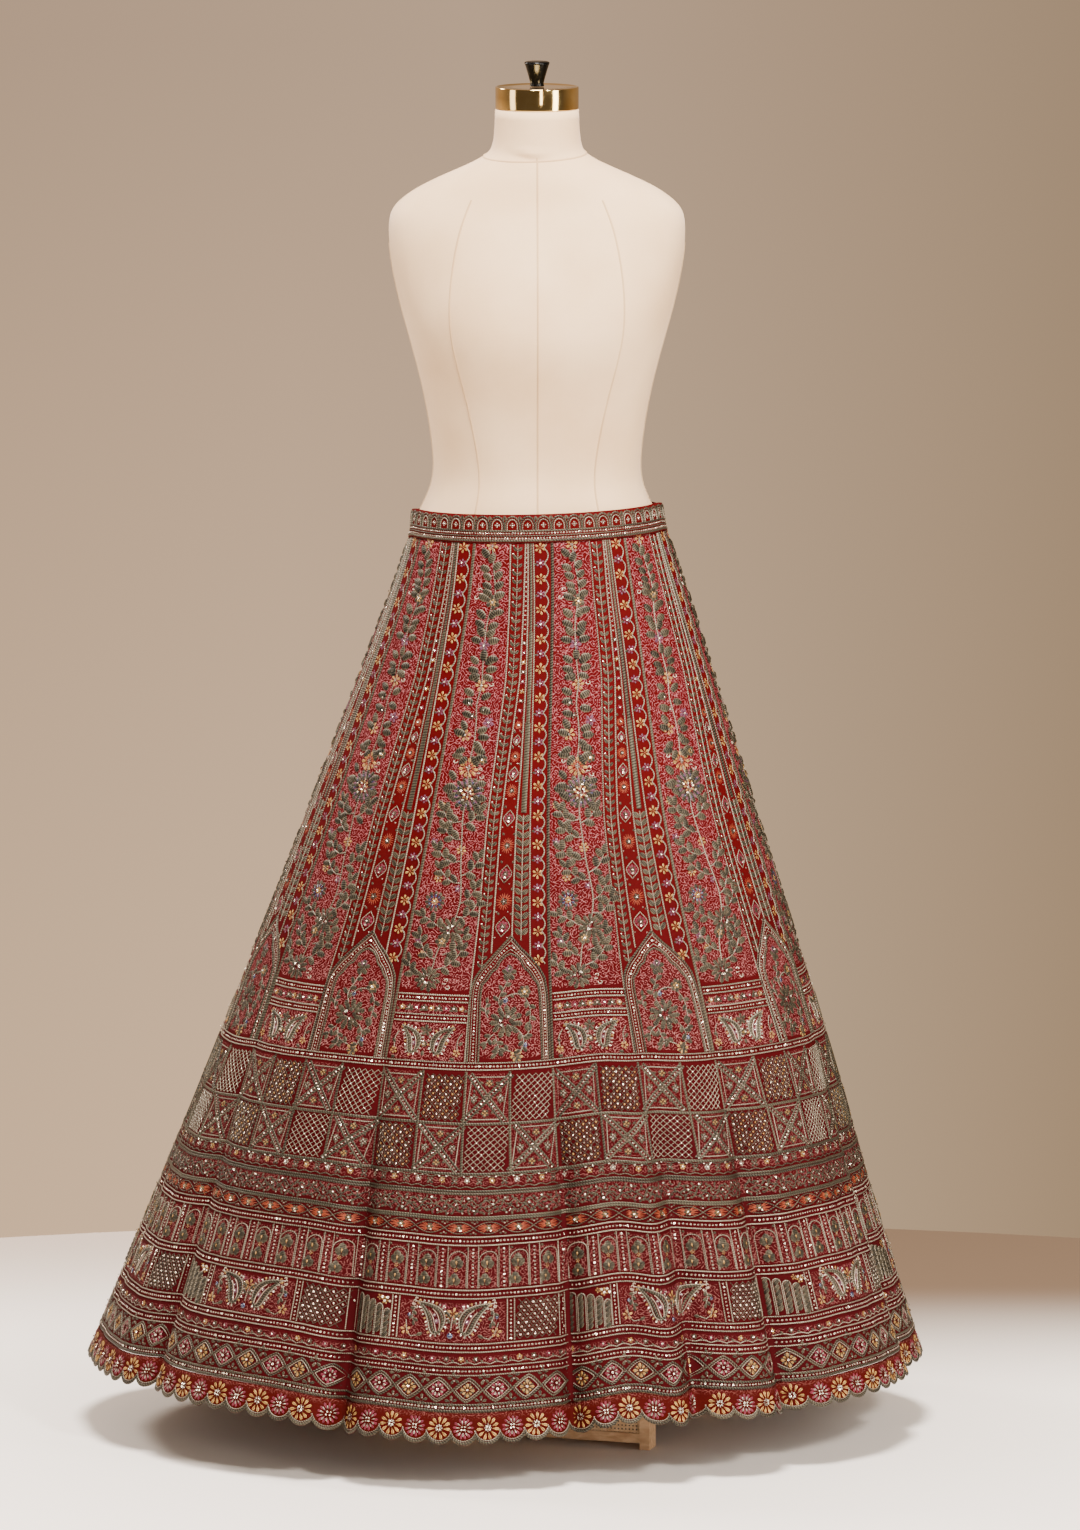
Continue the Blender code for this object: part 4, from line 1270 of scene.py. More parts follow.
def scallop_edge(place):
    """How far down the scalloped edge is, "place" scallops round."""
    off_middle = place % 1.0 * 2 - 1
    curve = 1 - np.sqrt(1 - (SCALLOP_ROUNDNESS * off_middle) ** 2)
    return HEM - SCALLOP_DEPTH * curve / (1 - math.sqrt(1 - SCALLOP_ROUNDNESS**2))


def scalloped_trim(gore):
    width = float(gore_width(1.0315))
    pitch = width / SCALLOPS
    for i in range(SCALLOPS):
        place = np.linspace(i, i + 0.9999, 15)
        edge = scallop_edge(place)
        braid.lay(gore.number + place / SCALLOPS, edge - 0.0018, 3.4, 1.5, 0.0)
        pale.lay(gore.number + place / SCALLOPS, edge - 0.0044, 1.2, 0.9, 0.0)
        x, y = pitch * (i + 0.5), 1.0325
        if i % 2 == 0:
            gore.flower(cream, x, y, 11, 13.4, 3.6, "drop", hollow=0.36)
            gore.flower(beads, x, y, 8, 4.6, 1.6, "drop", hollow=0.3, lift=0.5)
        else:
            gore.flower(magenta, x, y, 13, 12.4, 3.0, "drop", hollow=0.36)
            gore.flower(beads, x, y, 11, 9.4, 1.7, "drop", turn=16, hollow=0.4, lift=0.5)
        for k in range(4):
            angle = math.radians(90 * k + 45)
            gore.sew(sequins, "sequin", *around(x, y, angle, 2.2), length=2.4,
                     lift=0.8)
        gore.sew(beads, "bead", pitch * i, 1.0355, length=2.2)


def waistband_work(gore):
    """On the band: a row of little arches, then three braids with beads between."""
    count, lift = 5, BAND_EXTRA / MM
    width = float(gore_width(-0.02))
    pitch = width / count
    for i in range(count):
        x = pitch * (i + 0.5)
        t = np.linspace(-1, 1, 9)
        for thread, size, thick in ((braid, 1.0, 2.0), (pale, 0.70, 1.2)):
            half = pitch * 0.47 * size
            turned = t * math.pi / 2
            crown = np.stack([x + np.sin(turned) * half, -0.0200 - np.cos(turned) * 10.6 * MM * size], -1)
            path = np.concatenate([[(x - half, -0.0150)], crown, [(x + half, -0.0150)]])
            gore.lay(thread, path, width=thick, height=1.0, lift=lift, step=2.5)
        for dx, dy in ((0, -2.0), (0, 2.0), (-2.0, 0), (2.0, 0)):
            gore.sew(beads, "bead", x + dx * MM, -0.0205 + dy * MM, length=2.2, height=1.2, lift=lift)
        gore.sew(sequins, "bead", x, -0.0205, length=1.8, height=1.6, lift=lift)
        gore.sew(leaves, "leaf", pitch * i, -0.0262, 0, 5.0, 4.2, 1.0, lift)
    for y, thick in ((-0.0138, 2.0), (-0.0081, 1.4), (-0.0026, 2.6)):
        gore.level(braid, y, width=thick, height=1.1, lift=lift)
    for y, shift in ((-0.0110, 0.0), (-0.0052, 0.5)):
        count = 26
        for i in range(count):
            thread = sequins if chance.integers(5) == 0 else beads
            gore.sew(thread, "bead", width * (i + shift) / count, y, length=2.5, height=1.2, lift=lift)


for number in range(GORES):
    panel = Gore(number)
    upper_gore(panel)
    lower_gore(panel)
    scalloped_trim(panel)
    waistband_work(panel)


# Where the ground shows pink vermicelli: metres inside it, below zero outside

HALF_BANDS = ((0.7480, 0.7640), (0.7720, 0.7950), (0.8300, 0.8765), (0.9495, 0.9635))
ARCH_SIDE_Y = np.array([y for _, y in ARCH_INNER])


def inside_box(x, y, left, right, top, bottom):
    """How deep inside a box each point is, below zero outside it."""
    return np.minimum(np.minimum(x - left, right - x), np.minimum(y - top, bottom - y))


def pink_depth(x, y):
    inside_vine = np.minimum(x - 0.001, strip("chain", y) - 0.001 - x)
    inside_vine = np.where(y > 0.539, -1.0, inside_vine)
    left = gore_width(y) - np.interp(y, ARCH_SIDE_Y, [r * MM for r, _ in ARCH_INNER])
    right = gore_width(y) - np.interp(y, ARCH_SIDE_Y, [r * MM for r, _ in ARCH_INNER_RIGHT])
    inside_arch = np.minimum(np.minimum(x - left, right - x), y - ARCH_SIDE_Y[0])
    result = np.maximum(inside_vine, np.where(y < 0.619, inside_arch, -1.0))
    for top, bottom in ((0.5505, 0.5625), (0.5745, UPPER_END)):
        result = np.maximum(result, inside_box(x, y, 0.002, strip("chain", y) - 0.002, top, bottom))
    # Below the arches the vermicelli is sparser, and it is left out of the lattices and the fingers
    for top, bottom in HALF_BANDS:
        result = np.maximum(result, np.minimum(np.minimum(y - top, bottom - y), 0.14 * MM))
    width = gore_width(y)
    box = inside_box(x, y, 0.245 * width, 0.730 * width, 0.8895, 0.9375)
    result = np.maximum(result, np.minimum(box, 0.15 * MM))
    for top, bottom, kinds in CHECK_ROWS:
        for i, kind in enumerate(kinds):
            if kind == "cross":
                cell = inside_box(x, y, width * i / 4, width * (i + 1) / 4, top, bottom)
                result = np.maximum(result, np.minimum(cell, 0.05 * MM))
    return np.clip(result, -0.01, 0.01)


def cloth_shell(name, columns_per_gore, rows_for, proud=0.0, thickness=SHELL):
    """A thin shell of the cloth's surface: outer face, inner face and edges, in one piece all round."""
    shares = np.linspace(0, 1, columns_per_gore + 1)
    gore = (np.arange(GORES)[:, None] + shares[None, :-1]).reshape(-1)
    rows = rows_for(gore)                       # columns by rows of y
    count, deep = rows.shape
    across = np.repeat(gore[:, None], deep, axis=1)
    centre, _, _, outward = cloth_frame(across, rows)
    outer = centre + outward * proud
    inner = centre + outward * (proud - thickness)
    points = np.concatenate([outer.reshape(-1, 3), inner.reshape(-1, 3)])
    i = np.arange(count)[:, None] * deep + np.arange(deep - 1)[None, :]
    j = ((np.arange(count)[:, None] + 1) % count) * deep + np.arange(deep - 1)[None, :]
    offset = count * deep
    outer_faces = np.stack([i, i + 1, j + 1, j], -1).reshape(-1, 4)
    inner_faces = np.stack([i, j, j + 1, i + 1], -1).reshape(-1, 4) + offset
    ring = np.arange(count) * deep
    after = np.roll(ring, -1)
    top_faces = np.stack([ring, after, after + offset, ring + offset], -1)
    low, low_after = ring + deep - 1, after + deep - 1
    bottom_faces = np.stack([low, low + offset, low_after + offset, low_after], -1)
    faces = np.concatenate([outer_faces, inner_faces, top_faces, bottom_faces])
    obj = made_mesh(name, points, [faces], [])
    mesh = obj.data
    column_of = np.tile(np.repeat(np.arange(count), deep), 2)
    y_of = np.tile(rows.reshape(-1), 2)
    corner = faces.reshape(-1)
    face_column = np.repeat(np.minimum.reduce(column_of[faces], axis=1), 4)
    wraps = np.repeat((column_of[faces].max(axis=1) - column_of[faces].min(axis=1)) > 1, 4)
    first = np.where(wraps, count - 1, face_column)
    number = first // columns_per_gore
    spot = np.where(wraps & (column_of[corner] == 0), count, column_of[corner])
    share = spot / columns_per_gore - number
    x = share * gore_width(y_of[corner])
    uv = np.stack([x + number * 0.371, y_of[corner]], -1)
    layer = mesh.uv_layers.new(name="UVMap")
    layer.data.foreach_set("uv", uv.astype(np.float32).reshape(-1))
    pink = mesh.attributes.new("pink", "FLOAT", "CORNER")
    pink.data.foreach_set("value", (pink_depth(x, y_of[corner]) * 1000).astype(np.float32))
    inside = np.zeros(len(faces), np.int32)
    inside[len(outer_faces) : len(outer_faces) + len(inner_faces)] = 1
    mesh.polygons.foreach_set("material_index", inside)
    return obj


SKIRT_ROWS = np.concatenate([
    np.linspace(0.0003, 0.62, 62, endpoint=False),
    np.linspace(0.62, TRIM_TOP - 0.0002, 66),
])
skirt = cloth_shell("skirt_cloth", 32, lambda gore: np.repeat(SKIRT_ROWS[None, :], len(gore), axis=0))


def trim_rows(gore):
    edge = scallop_edge(gore * SCALLOPS)
    start = TRIM_TOP + 0.0001
    return start + (edge - start)[:, None] * np.linspace(0, 1, 7)[None, :]


trim = cloth_shell("hem_trim_cloth", 80, trim_rows)
band = cloth_shell(
    "waistband_cloth", 24, lambda gore: np.repeat(np.linspace(BAND_TOP, 0.0, 9)[None, :], len(gore), axis=0),
    proud=BAND_EXTRA, thickness=0.0024,
)
works = {name: thread.mesh(name) for name, thread in THREADS.items()}


# The dress form

def seen_copy(node, name):
    """A clean merged copy of a CAD node's mesh."""
    mesh = bpy.data.objects[node].data.copy()
    mesh.materials.clear()
    obj = linked(name, mesh)
    make_active(obj)
    bpy.ops.object.mode_set(mode="EDIT")
    bpy.ops.mesh.select_all(action="SELECT")
    bpy.ops.mesh.remove_doubles(threshold=0.00005)
    bpy.ops.mesh.tris_convert_to_quads(face_threshold=0.7, shape_threshold=0.7)
    bpy.ops.object.mode_set(mode="OBJECT")
    return obj


def apply_modifier(obj, kind, **settings):
    make_active(obj)
    modifier = obj.modifiers.new(kind.lower(), kind)
    for key, value in settings.items():
        setattr(modifier, key, value)
    bpy.ops.object.modifier_apply(modifier=modifier.name)


torso = seen_copy("form_torso", "form_torso_linen")
bm = bmesh.new()
bm.from_mesh(torso.data)
crease = bm.edges.layers.float.get("crease_edge") or bm.edges.layers.float.new("crease_edge")
for edge in bm.edges:
    if len(edge.link_faces) == 2 and edge.calc_face_angle() > math.radians(35):
        edge[crease] = 1.0
bm.to_mesh(torso.data)
bm.free()
apply_modifier(torso, "SUBSURF", levels=2, render_levels=2)
bpy.ops.object.shade_smooth()


def neck_wrinkle():
    """A small soft fold in the linen across the front of the neck, and a dent under it."""
    spots = np.array([v.co[:] for v in torso.data.vertices])
    x, y, z = (spots - np.array(AXIS)).T
    line = 1.5120 - 0.0045 * np.cos(x / 0.020)
    across = np.exp(-((x + 0.010) / 0.020) ** 2) * (y < 0)
    fold = 0.0022 * np.exp(-(((z - line) / 0.0035) ** 2))
    dent = 0.0016 * np.exp(-(((z - line + 0.007) / 0.004) ** 2))
    push = across * (fold - dent)
    for vertex, amount in zip(torso.data.vertices, push):
        if abs(amount) > 1e-5:
            vertex.co.y -= amount


neck_wrinkle()

cap_low, cap_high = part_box("form_cap")
knob_low, knob_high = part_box("form_knob")
cap_centre = (cap_low + cap_high) / 2
cap_radius = (cap_high.x - cap_low.x) / 2

clear_selection()
bpy.ops.mesh.primitive_cylinder_add(
    vertices=128, radius=cap_radius, depth=cap_high.z - cap_low.z, location=cap_centre,
    end_fill_type="NGON")
cap = bpy.context.object
cap.name = "form_cap_brass"
bpy.ops.object.transform_apply(location=True, rotation=True, scale=True)
bpy.ops.object.mode_set(mode="EDIT")
bpy.ops.mesh.select_all(action="DESELECT")
bpy.ops.object.mode_set(mode="OBJECT")
for face in cap.data.polygons:
    face.select = face.normal.z > 0.9
bpy.ops.object.mode_set(mode="EDIT")
bpy.ops.mesh.inset(thickness=0.0022, depth=0)
bpy.ops.mesh.inset(thickness=0.0006, depth=-0.0005)
bpy.ops.mesh.inset(thickness=0.020, depth=0)
bpy.ops.mesh.inset(thickness=0.010, depth=0)
bpy.ops.object.mode_set(mode="OBJECT")
apply_modifier(cap, "BEVEL", width=0.0010, segments=3, limit_method="ANGLE", angle_limit=math.radians(50))
bpy.ops.object.shade_smooth_by_angle(angle=math.radians(40))

# The knob is turned: its half profile is spun round
knob_height = knob_high.z - knob_low.z
KNOB_PROFILE = (
    (0.0001, 0.0), (0.0082, 0.0), (0.0084, 0.0008), (0.0080, 0.0022), (0.0079, 0.0040), (0.0094, 0.0100),
    (0.0113, 0.0165), (0.0130, 0.0222), (0.0142, 0.0256), (0.0147, 0.0268), (0.0145, 0.0278),
    (0.0134, 0.0285),
    (0.0110, 0.0290), (0.0070, 0.0293), (0.0030, 0.0295), (0.0001, 0.0295),
)
profile_mesh = bpy.data.meshes.new("form_knob_lacquer")
profile_edges = [(i, i + 1) for i in range(len(KNOB_PROFILE) - 1)]
profile_mesh.from_pydata([(r, 0, z) for r, z in KNOB_PROFILE], profile_edges, [])
knob = linked("form_knob_lacquer", profile_mesh)
make_active(knob)
bpy.ops.object.mode_set(mode="EDIT")
bpy.ops.mesh.select_all(action="SELECT")
bpy.ops.mesh.spin(steps=64, angle=2 * math.pi, center=(0, 0, 0), axis=(0, 0, 1), use_auto_merge=True)
bpy.ops.mesh.select_all(action="SELECT")
bpy.ops.mesh.remove_doubles(threshold=0.0002)
bpy.ops.mesh.normals_make_consistent(inside=False)
bpy.ops.object.mode_set(mode="OBJECT")
knob.location = ((knob_low.x + knob_high.x) / 2, (knob_low.y + knob_high.y) / 2, knob_low.z)
knob.scale = (1, 1, knob_height / 0.0295)
bpy.ops.object.transform_apply(location=True, rotation=True, scale=True)
bpy.ops.object.shade_smooth_by_angle(angle=math.radians(50))

# The form's sewn seams, laid on its face: centre front and back, neck, sides and four between them
bm = bmesh.new()
bm.from_mesh(torso.data)
torso_tree = BVHTree.FromBMesh(bm)
bm.free()


def on_torso(angle, height):
    """The point of the torso's face in that direction from its axis, 0 being the front."""
    start = Vector((AXIS.x, AXIS.y, height))
    way = Vector((math.sin(math.radians(angle)), -math.cos(math.radians(angle)), 0))
    hit, normal, _, _ = torso_tree.ray_cast(start + way * 0.6, -way)
    return (hit, normal) if hit else (None, None)


def torso_seam(rows, width=0.0024, height=0.0010):
    """A seam through rows of (angle, height), as points of a low ridge."""
    found = [on_torso(a, h) for a, h in rows]
    found = [(p, n) for p, n in found if p is not None]
    centre = np.array([p[:] for p, _ in found])
    outward = np.array([n[:] for _, n in found])
    side = unit(np.cross(outward, unit(np.gradient(centre, axis=0)))) * width / 2
    return np.stack([centre - side, centre + outward * height, centre + side], 1)


SEAM_FOOT = 1.085        # where the waistband hides the seams
FORM_SEAMS = [
    [(0.5, h) for h in np.linspace(SEAM_FOOT, 1.503, 90)],
    [(180, h) for h in np.linspace(SEAM_FOOT, 1.507, 90)],
    [(a, 1.4985 + 0.0085 * (1 - math.cos(math.radians(a))) / 2 + 0.002 * math.sin(math.radians(a)))
     for a in np.linspace(0, 360, 91)],
    [(90, h) for h in np.linspace(SEAM_FOOT, 1.40, 60)],
    [(270, h) for h in np.linspace(SEAM_FOOT, 1.40, 60)],
]
FORM_SEAMS += [
    [(start + lean * t, SEAM_FOOT + 0.37 * t) for t in np.linspace(0, 1, 70)]
    for start, lean in ((40, 10), (-40, -10), (140, -10), (-140, 10))
]
seam_points, seam_faces, seam_first = [], [], 0
for rows in FORM_SEAMS:
    ridge = torso_seam(rows)
    seam_points.append(ridge.reshape(-1, 3))
    start = seam_first + 3 * np.arange(len(ridge) - 1)
    seam_faces += [np.stack([start, start + 3, start + 4, start + 1], -1),
                   np.stack([start + 1, start + 4, start + 5, start + 2], -1)]
    seam_first += 3 * len(ridge)
form_seams = made_mesh("form_seams", np.concatenate(seam_points), seam_faces, [])


# Materials

def new_material(name):
    """An empty material and its Principled shader."""
    material = bpy.data.materials.new(name)
    material.use_nodes = True
    return material, material.node_tree.nodes["Principled BSDF"]


def add(material, kind, settings=None, **links):
    """Adds a node; a link's key is its input's name or number, and its value a socket or a number."""
    node = material.node_tree.nodes.new(kind)
    for key, value in (settings or {}).items():
        setattr(node, key, value)
    for key, value in links.items():
        socket = node.inputs[int(key[1:]) if key[0] == "i" and key[1:].isdigit() else key.replace("_", " ")]
        if isinstance(value, bpy.types.NodeSocket):
            material.node_tree.links.new(value, socket)
        else:
            socket.default_value = value
    return node


def colour_steps(material, factor, steps, interpolation="LINEAR"):
    """A colour ramp from (place, hex colour) steps."""
    ramp = add(material, "ShaderNodeValToRGB", Fac=factor)
    elements = ramp.color_ramp.elements
    ramp.color_ramp.interpolation = interpolation
    while len(elements) < len(steps):
        elements.new(0.5)
    for element, (place, colour) in zip(elements, steps):
        element.position = place
        element.color = linear(colour)
    return ramp.outputs["Color"]


def maths(material, operation, first, second=0.0, third=0.0):
    return add(material, "ShaderNodeMath", {"operation": operation}, i0=first, i1=second,
               i2=third).outputs[0]


def blend(material, factor, first, second, mode="MIX"):
    node = add(material, "ShaderNodeMix", {"data_type": "RGBA", "blend_type": mode}, Factor=factor)
    for name, value in (("A", first), ("B", second)):
        socket = [s for s in node.inputs if s.name == name and s.type == "RGBA"][0]
        if isinstance(value, bpy.types.NodeSocket):
            material.node_tree.links.new(value, socket)
        else:
            socket.default_value = value
    return [s for s in node.outputs if s.type == "RGBA"][0]


def bump(material, shader, height, strength, distance):
    node = add(material, "ShaderNodeBump", Height=height, Strength=strength, Distance=distance)
    material.node_tree.links.new(node.outputs["Normal"], shader.inputs["Normal"])


def join(material, socket, shader, name):
    material.node_tree.links.new(socket, shader.inputs[name])


def silk_ground(name, upper, lower=None, everywhere=None):
    """Raw silk filled with vermicelli: a thin couched thread that wanders and never crosses.

    "upper" and "lower" each give the silk, its deeper shade, the thread and its deeper shade; without
    "lower" the colours don't change down the cloth. "everywhere" gives the y where the vermicelli is full
    and the y where it has gone; without it the corners' "pink" attribute says where it is.
    """
    material, shader = new_material(name)
    uv = add(material, "ShaderNodeUVMap", {"uv_map": "UVMap"}).outputs["UV"]
    along = add(material, "ShaderNodeSeparateXYZ", Vector=uv).outputs["Y"]
    # Down the cloth the colours blend from the upper set to the darker lower set: painted shade for the
    # light falling off towards the hem
    low = add(material, "ShaderNodeMapRange", i0=along, i1=0.30, i2=0.72).outputs[0]
    plain, deep, thread, dark_thread = (
        blend(material, low, linear(first), linear(second)) for first, second in zip(upper, lower or upper)
    )
    # The couched thread wanders about 3 mm apart; contours of a noise keep it from crossing itself
    wander = add(material, "ShaderNodeTexNoise", {"noise_dimensions": "2D"}, Vector=uv, Scale=215.0,
                 Detail=0.0)
    level = maths(material, "MULTIPLY", wander.outputs["Fac"], 16.0)
    ripple = maths(material, "SINE", level)
    line = add(material, "ShaderNodeMapRange", i0=ripple, i1=0.25, i2=0.70).outputs[0]
    if everywhere is None:
        depth = add(material, "ShaderNodeAttribute", {"attribute_name": "pink"}).outputs["Fac"]
        where = add(material, "ShaderNodeMapRange", i0=depth, i1=-0.2, i2=0.4).outputs[0]
    else:
        where = add(material, "ShaderNodeMapRange", i0=along, i1=everywhere[1], i2=everywhere[0]).outputs[0]
    stitched = maths(material, "MULTIPLY", line, where)
    patch = add(material, "ShaderNodeTexNoise", {"noise_dimensions": "2D"}, Vector=uv, Scale=14.0,
                Detail=3.0)
    base = blend(material, maths(material, "MULTIPLY", patch.outputs["Fac"], 0.6), plain, deep)
    dye = add(material, "ShaderNodeTexNoise", {"noise_dimensions": "2D"}, Vector=uv, Scale=420.0,
              Detail=2.0)
    spread = add(material, "ShaderNodeMapRange", i0=dye.outputs["Fac"], i1=0.35, i2=0.62).outputs[0]
    colour = blend(material, spread, dark_thread, thread)
    join(material, blend(material, stitched, base, colour), shader, "Base Color")
    shader.inputs["Roughness"].default_value = 0.7
    shader.inputs["Specular IOR Level"].default_value = 0.03
    slub = add(material, "ShaderNodeTexNoise", {"noise_dimensions": "2D"}, Vector=uv, Scale=900.0,
               Detail=1.0)
    raised = maths(material, "MULTIPLY_ADD", slub.outputs["Fac"], 0.25, stitched)
    bump(material, shader, raised, 0.8, 0.0006)
    return material


# Embroidered raw silk: dull red slub silk with pink vermicelli couched over most of it
# Its second, darker set of colours is used lower down the skirt: painted shade towards the hem
SILK = silk_ground("embroidered raw silk", ("#4A0508", "#360405", "#905658", "#5A1F23"),
                   ("#380508", "#240305", "#80524E", "#461E1E"))
# The trim's silk is a more orange red, with vermicelli only under the braid that joins it on
TRIM_SILK = silk_ground("scalloped trim silk", ("#3E0906", "#2C0604", "#70403A", "#441E1A"),
                        everywhere=(1.017, 1.024))
# The band's silk is plain between its braids
BAND_SILK = silk_ground("waistband raw silk", ("#4A0608", "#340405", "#724844", "#3C1A1A"),
                       everywhere=(-9.1, -9.0))


def silk_reverse():
    """The back of the cloth, plain dark red with ends of thread carried across it."""
    material, shader = new_material("raw silk reverse")
    uv = add(material, "ShaderNodeUVMap", {"uv_map": "UVMap"}).outputs["UV"]
    ends = add(material, "ShaderNodeTexNoise", {"noise_dimensions": "2D"}, Vector=uv, Scale=160.0,
               Detail=3.0)
    join(material, colour_steps(material, ends.outputs["Fac"], ((0.42, "#2A0508"), (0.60, "#3C1614"))),
         shader,
         "Base Color")
    shader.inputs["Roughness"].default_value = 0.8
    bump(material, shader, ends.outputs["Fac"], 0.4, 0.0005)
    return material


REVERSE = silk_reverse()


def thread_finish(name, dark, light, metallic, roughness, twist=None, glint=None):
    """A thread or bead: "twist" is the lay of a twisted cord in metres, or None for flat stitches."""
    material, shader = new_material(name)
    uv = add(material, "ShaderNodeUVMap", {"uv_map": "UVMap"}).outputs["UV"]
    parts = add(material, "ShaderNodeSeparateXYZ", Vector=uv)
    shade = add(material, "ShaderNodeAttribute", {"attribute_name": "shade"}).outputs["Fac"]
    place = add(material, "ShaderNodeTexCoord").outputs["Object"]
    mottle = add(material, "ShaderNodeTexNoise", Vector=place, Scale=650.0, Detail=1.0).outputs["Fac"]
    if twist:
        turn = maths(material, "MULTIPLY_ADD", parts.outputs["X"], 2 * math.pi / twist, 0.0)
        lean = maths(material, "MULTIPLY_ADD", parts.outputs["Y"], 3.2, turn)
        relief = maths(material, "MULTIPLY_ADD", maths(material, "SINE", lean), 0.5, 0.5)
    else:
        rib = maths(material, "MULTIPLY_ADD", parts.outputs["Y"], 34.0, 0.0)
        relief = maths(material, "MULTIPLY_ADD", maths(material, "SINE", rib), 0.5, 0.5)
    # The tone follows the relief, so the grooves of the twist and between the ribs are painted darker:
    # painted shade in the recesses
    tone = maths(material, "MULTIPLY_ADD", relief, 0.5, maths(material, "MULTIPLY", mottle, 0.45))
    tone = maths(material, "MULTIPLY_ADD", shade, 0.25, tone)
    if not twist:
        # Couched cord outlines each stitched shape, so its rim is lighter than its inside
        off = maths(material, "ABSOLUTE", maths(material, "SUBTRACT", parts.outputs["X"], 0.5))
        rim = add(material, "ShaderNodeMapRange", i0=off, i1=0.26, i2=0.40, i3=-0.16, i4=0.40).outputs[0]
        tone = maths(material, "ADD", tone, rim)
    # The needlework is painted a little darker towards the hem: painted shade for the light falling off
    # lower down
    high = add(material, "ShaderNodeSeparateXYZ", Vector=place).outputs["Z"]
    painted_hem_shade = add(material, "ShaderNodeMapRange", i0=high, i1=0.80, i2=0.25, i3=0.0, i4=0.10).outputs[0]
    colour = colour_steps(material, tone, ((0.25, dark), (0.95, light)))
    join(material, blend(material, painted_hem_shade, colour, linear("#0A0604")), shader, "Base Color")
    shader.inputs["Metallic"].default_value = metallic
    shader.inputs["Roughness"].default_value = roughness
    shader.inputs["Specular IOR Level"].default_value = 0.5 if glint else 0.2
    if glint:
        shader.inputs["Coat Weight"].default_value = glint
        shader.inputs["Coat Roughness"].default_value = 0.12
    bump(material, shader, relief, 0.5, 0.0004)
    return material


FINISHES = {
    # Dull antique gold zari, a metal strip wound on cotton: olive, and rough from the winding
    "zari_braid": thread_finish("antique zari braid", "#0C0A07", "#564F40", 0.45, 0.42, twist=0.0032),
    # The lighter gold cord that outlines every strip
    "pale_cord": thread_finish("pale zari cord", "#241E16", "#968C7A", 0.35, 0.40, twist=0.0026),
    # Padded stitches of the same olive zari
    "zari_leaves": thread_finish("padded zari stitches", "#0E0C08", "#5A5140", 0.40, 0.44),
    # Lustrous floss silk in satin stitch
    "cream_silk": thread_finish("cream gold floss", "#4E3418", "#C89A58", 0.10, 0.36),
    "mauve_silk": thread_finish("mauve floss", "#3A1E2C", "#7C4C60", 0.05, 0.42),
    "magenta_silk": thread_finish("magenta floss", "#400C18", "#802C3E", 0.05, 0.42),
    "orange_silk": thread_finish("burnt orange floss", "#5A2010", "#A44C2C", 0.05, 0.42),
    # Lustred glass beads, copper to peach
    "copper_beads": thread_finish("lustred copper beads", "#2A2018", "#BEAA94", 0.30, 0.22, glint=0.5),
    # Stamped metallised sequins
    "sequins": thread_finish("silvered sequins", "#CDBfA0", "#FFF8E8", 0.75, 0.16, glint=0.4),
    "navy_stones": thread_finish("navy glass stones", "#0C1022", "#222A52", 0.0, 0.10, glint=0.8),
}


def linen(name, dark, light):
    """Unbleached linen stretched over padding: matt, with a fine plain weave."""
    material, shader = new_material(name)
    place = add(material, "ShaderNodeTexCoord").outputs["Object"]
    # The weave's threads are 0.5 mm apart, drawn 1.4 mm apart so that they show
    across = add(material, "ShaderNodeTexWave", {"bands_direction": "Z"}, Vector=place, Scale=220.0,
                 Distortion=1.5,
                 Detail=1.0)
    down = add(material, "ShaderNodeTexWave", {"bands_direction": "X"}, Vector=place, Scale=220.0,
               Distortion=1.5,
               Detail=1.0)
    weave = maths(material, "ADD", across.outputs["Fac"], down.outputs["Fac"])
    patch = add(material, "ShaderNodeTexNoise", Vector=place, Scale=9.0, Detail=4.0)
    base = colour_steps(material, patch.outputs["Fac"], ((0.35, dark), (0.65, light)))
    tint = maths(material, "MULTIPLY", weave, 0.06)
    join(material, blend(material, tint, base, linear("#B79B7C")), shader, "Base Color")
    shader.inputs["Roughness"].default_value = 0.86
    shader.inputs["Sheen Weight"].default_value = 0.15
    bump(material, shader, weave, 0.12, 0.0003)
    return material


LINEN = linen("unbleached linen", "#D9B488", "#E5C298")
SEAM_LINEN = linen("turned linen seam", "#BC966A", "#CCA87C")


def brass():
    """Polished lacquered brass: a mirror-like warm yellow with faint turning marks."""
    material, shader = new_material("polished brass")
    place = add(material, "ShaderNodeTexCoord").outputs["Object"]
    marks = add(material, "ShaderNodeTexNoise", Vector=place, Scale=60.0, Detail=4.0)
    join(material, colour_steps(material, marks.outputs["Fac"], ((0.3, "#E2BC74"), (0.7, "#F0D292"))),
         shader,
         "Base Color")
    shader.inputs["Metallic"].default_value = 1.0
    rough = add(material, "ShaderNodeMapRange", i0=marks.outputs["Fac"], i3=0.06, i4=0.14)
    join(material, rough.outputs[0], shader, "Roughness")
    return material


def lacquer(name, dark, light, roughness, coat):
    """A painted or lacquered finish, with a clear coat and faint orange peel."""
    material, shader = new_material(name)
    place = add(material, "ShaderNodeTexCoord").outputs["Object"]
    peel = add(material, "ShaderNodeTexNoise", Vector=place, Scale=400.0, Detail=2.0)
    join(material, colour_steps(material, peel.outputs["Fac"], ((0.3, dark), (0.7, light))), shader,
         "Base Color")
    shader.inputs["Roughness"].default_value = roughness
    shader.inputs["Specular IOR Level"].default_value = 0.2
    shader.inputs["Coat Weight"].default_value = coat
    shader.inputs["Coat Roughness"].default_value = 0.08
    bump(material, shader, peel.outputs["Fac"], 0.08, 0.0002)
    return material


BASE_TURN = math.radians(17)
CANE_PITCH = 0.0044


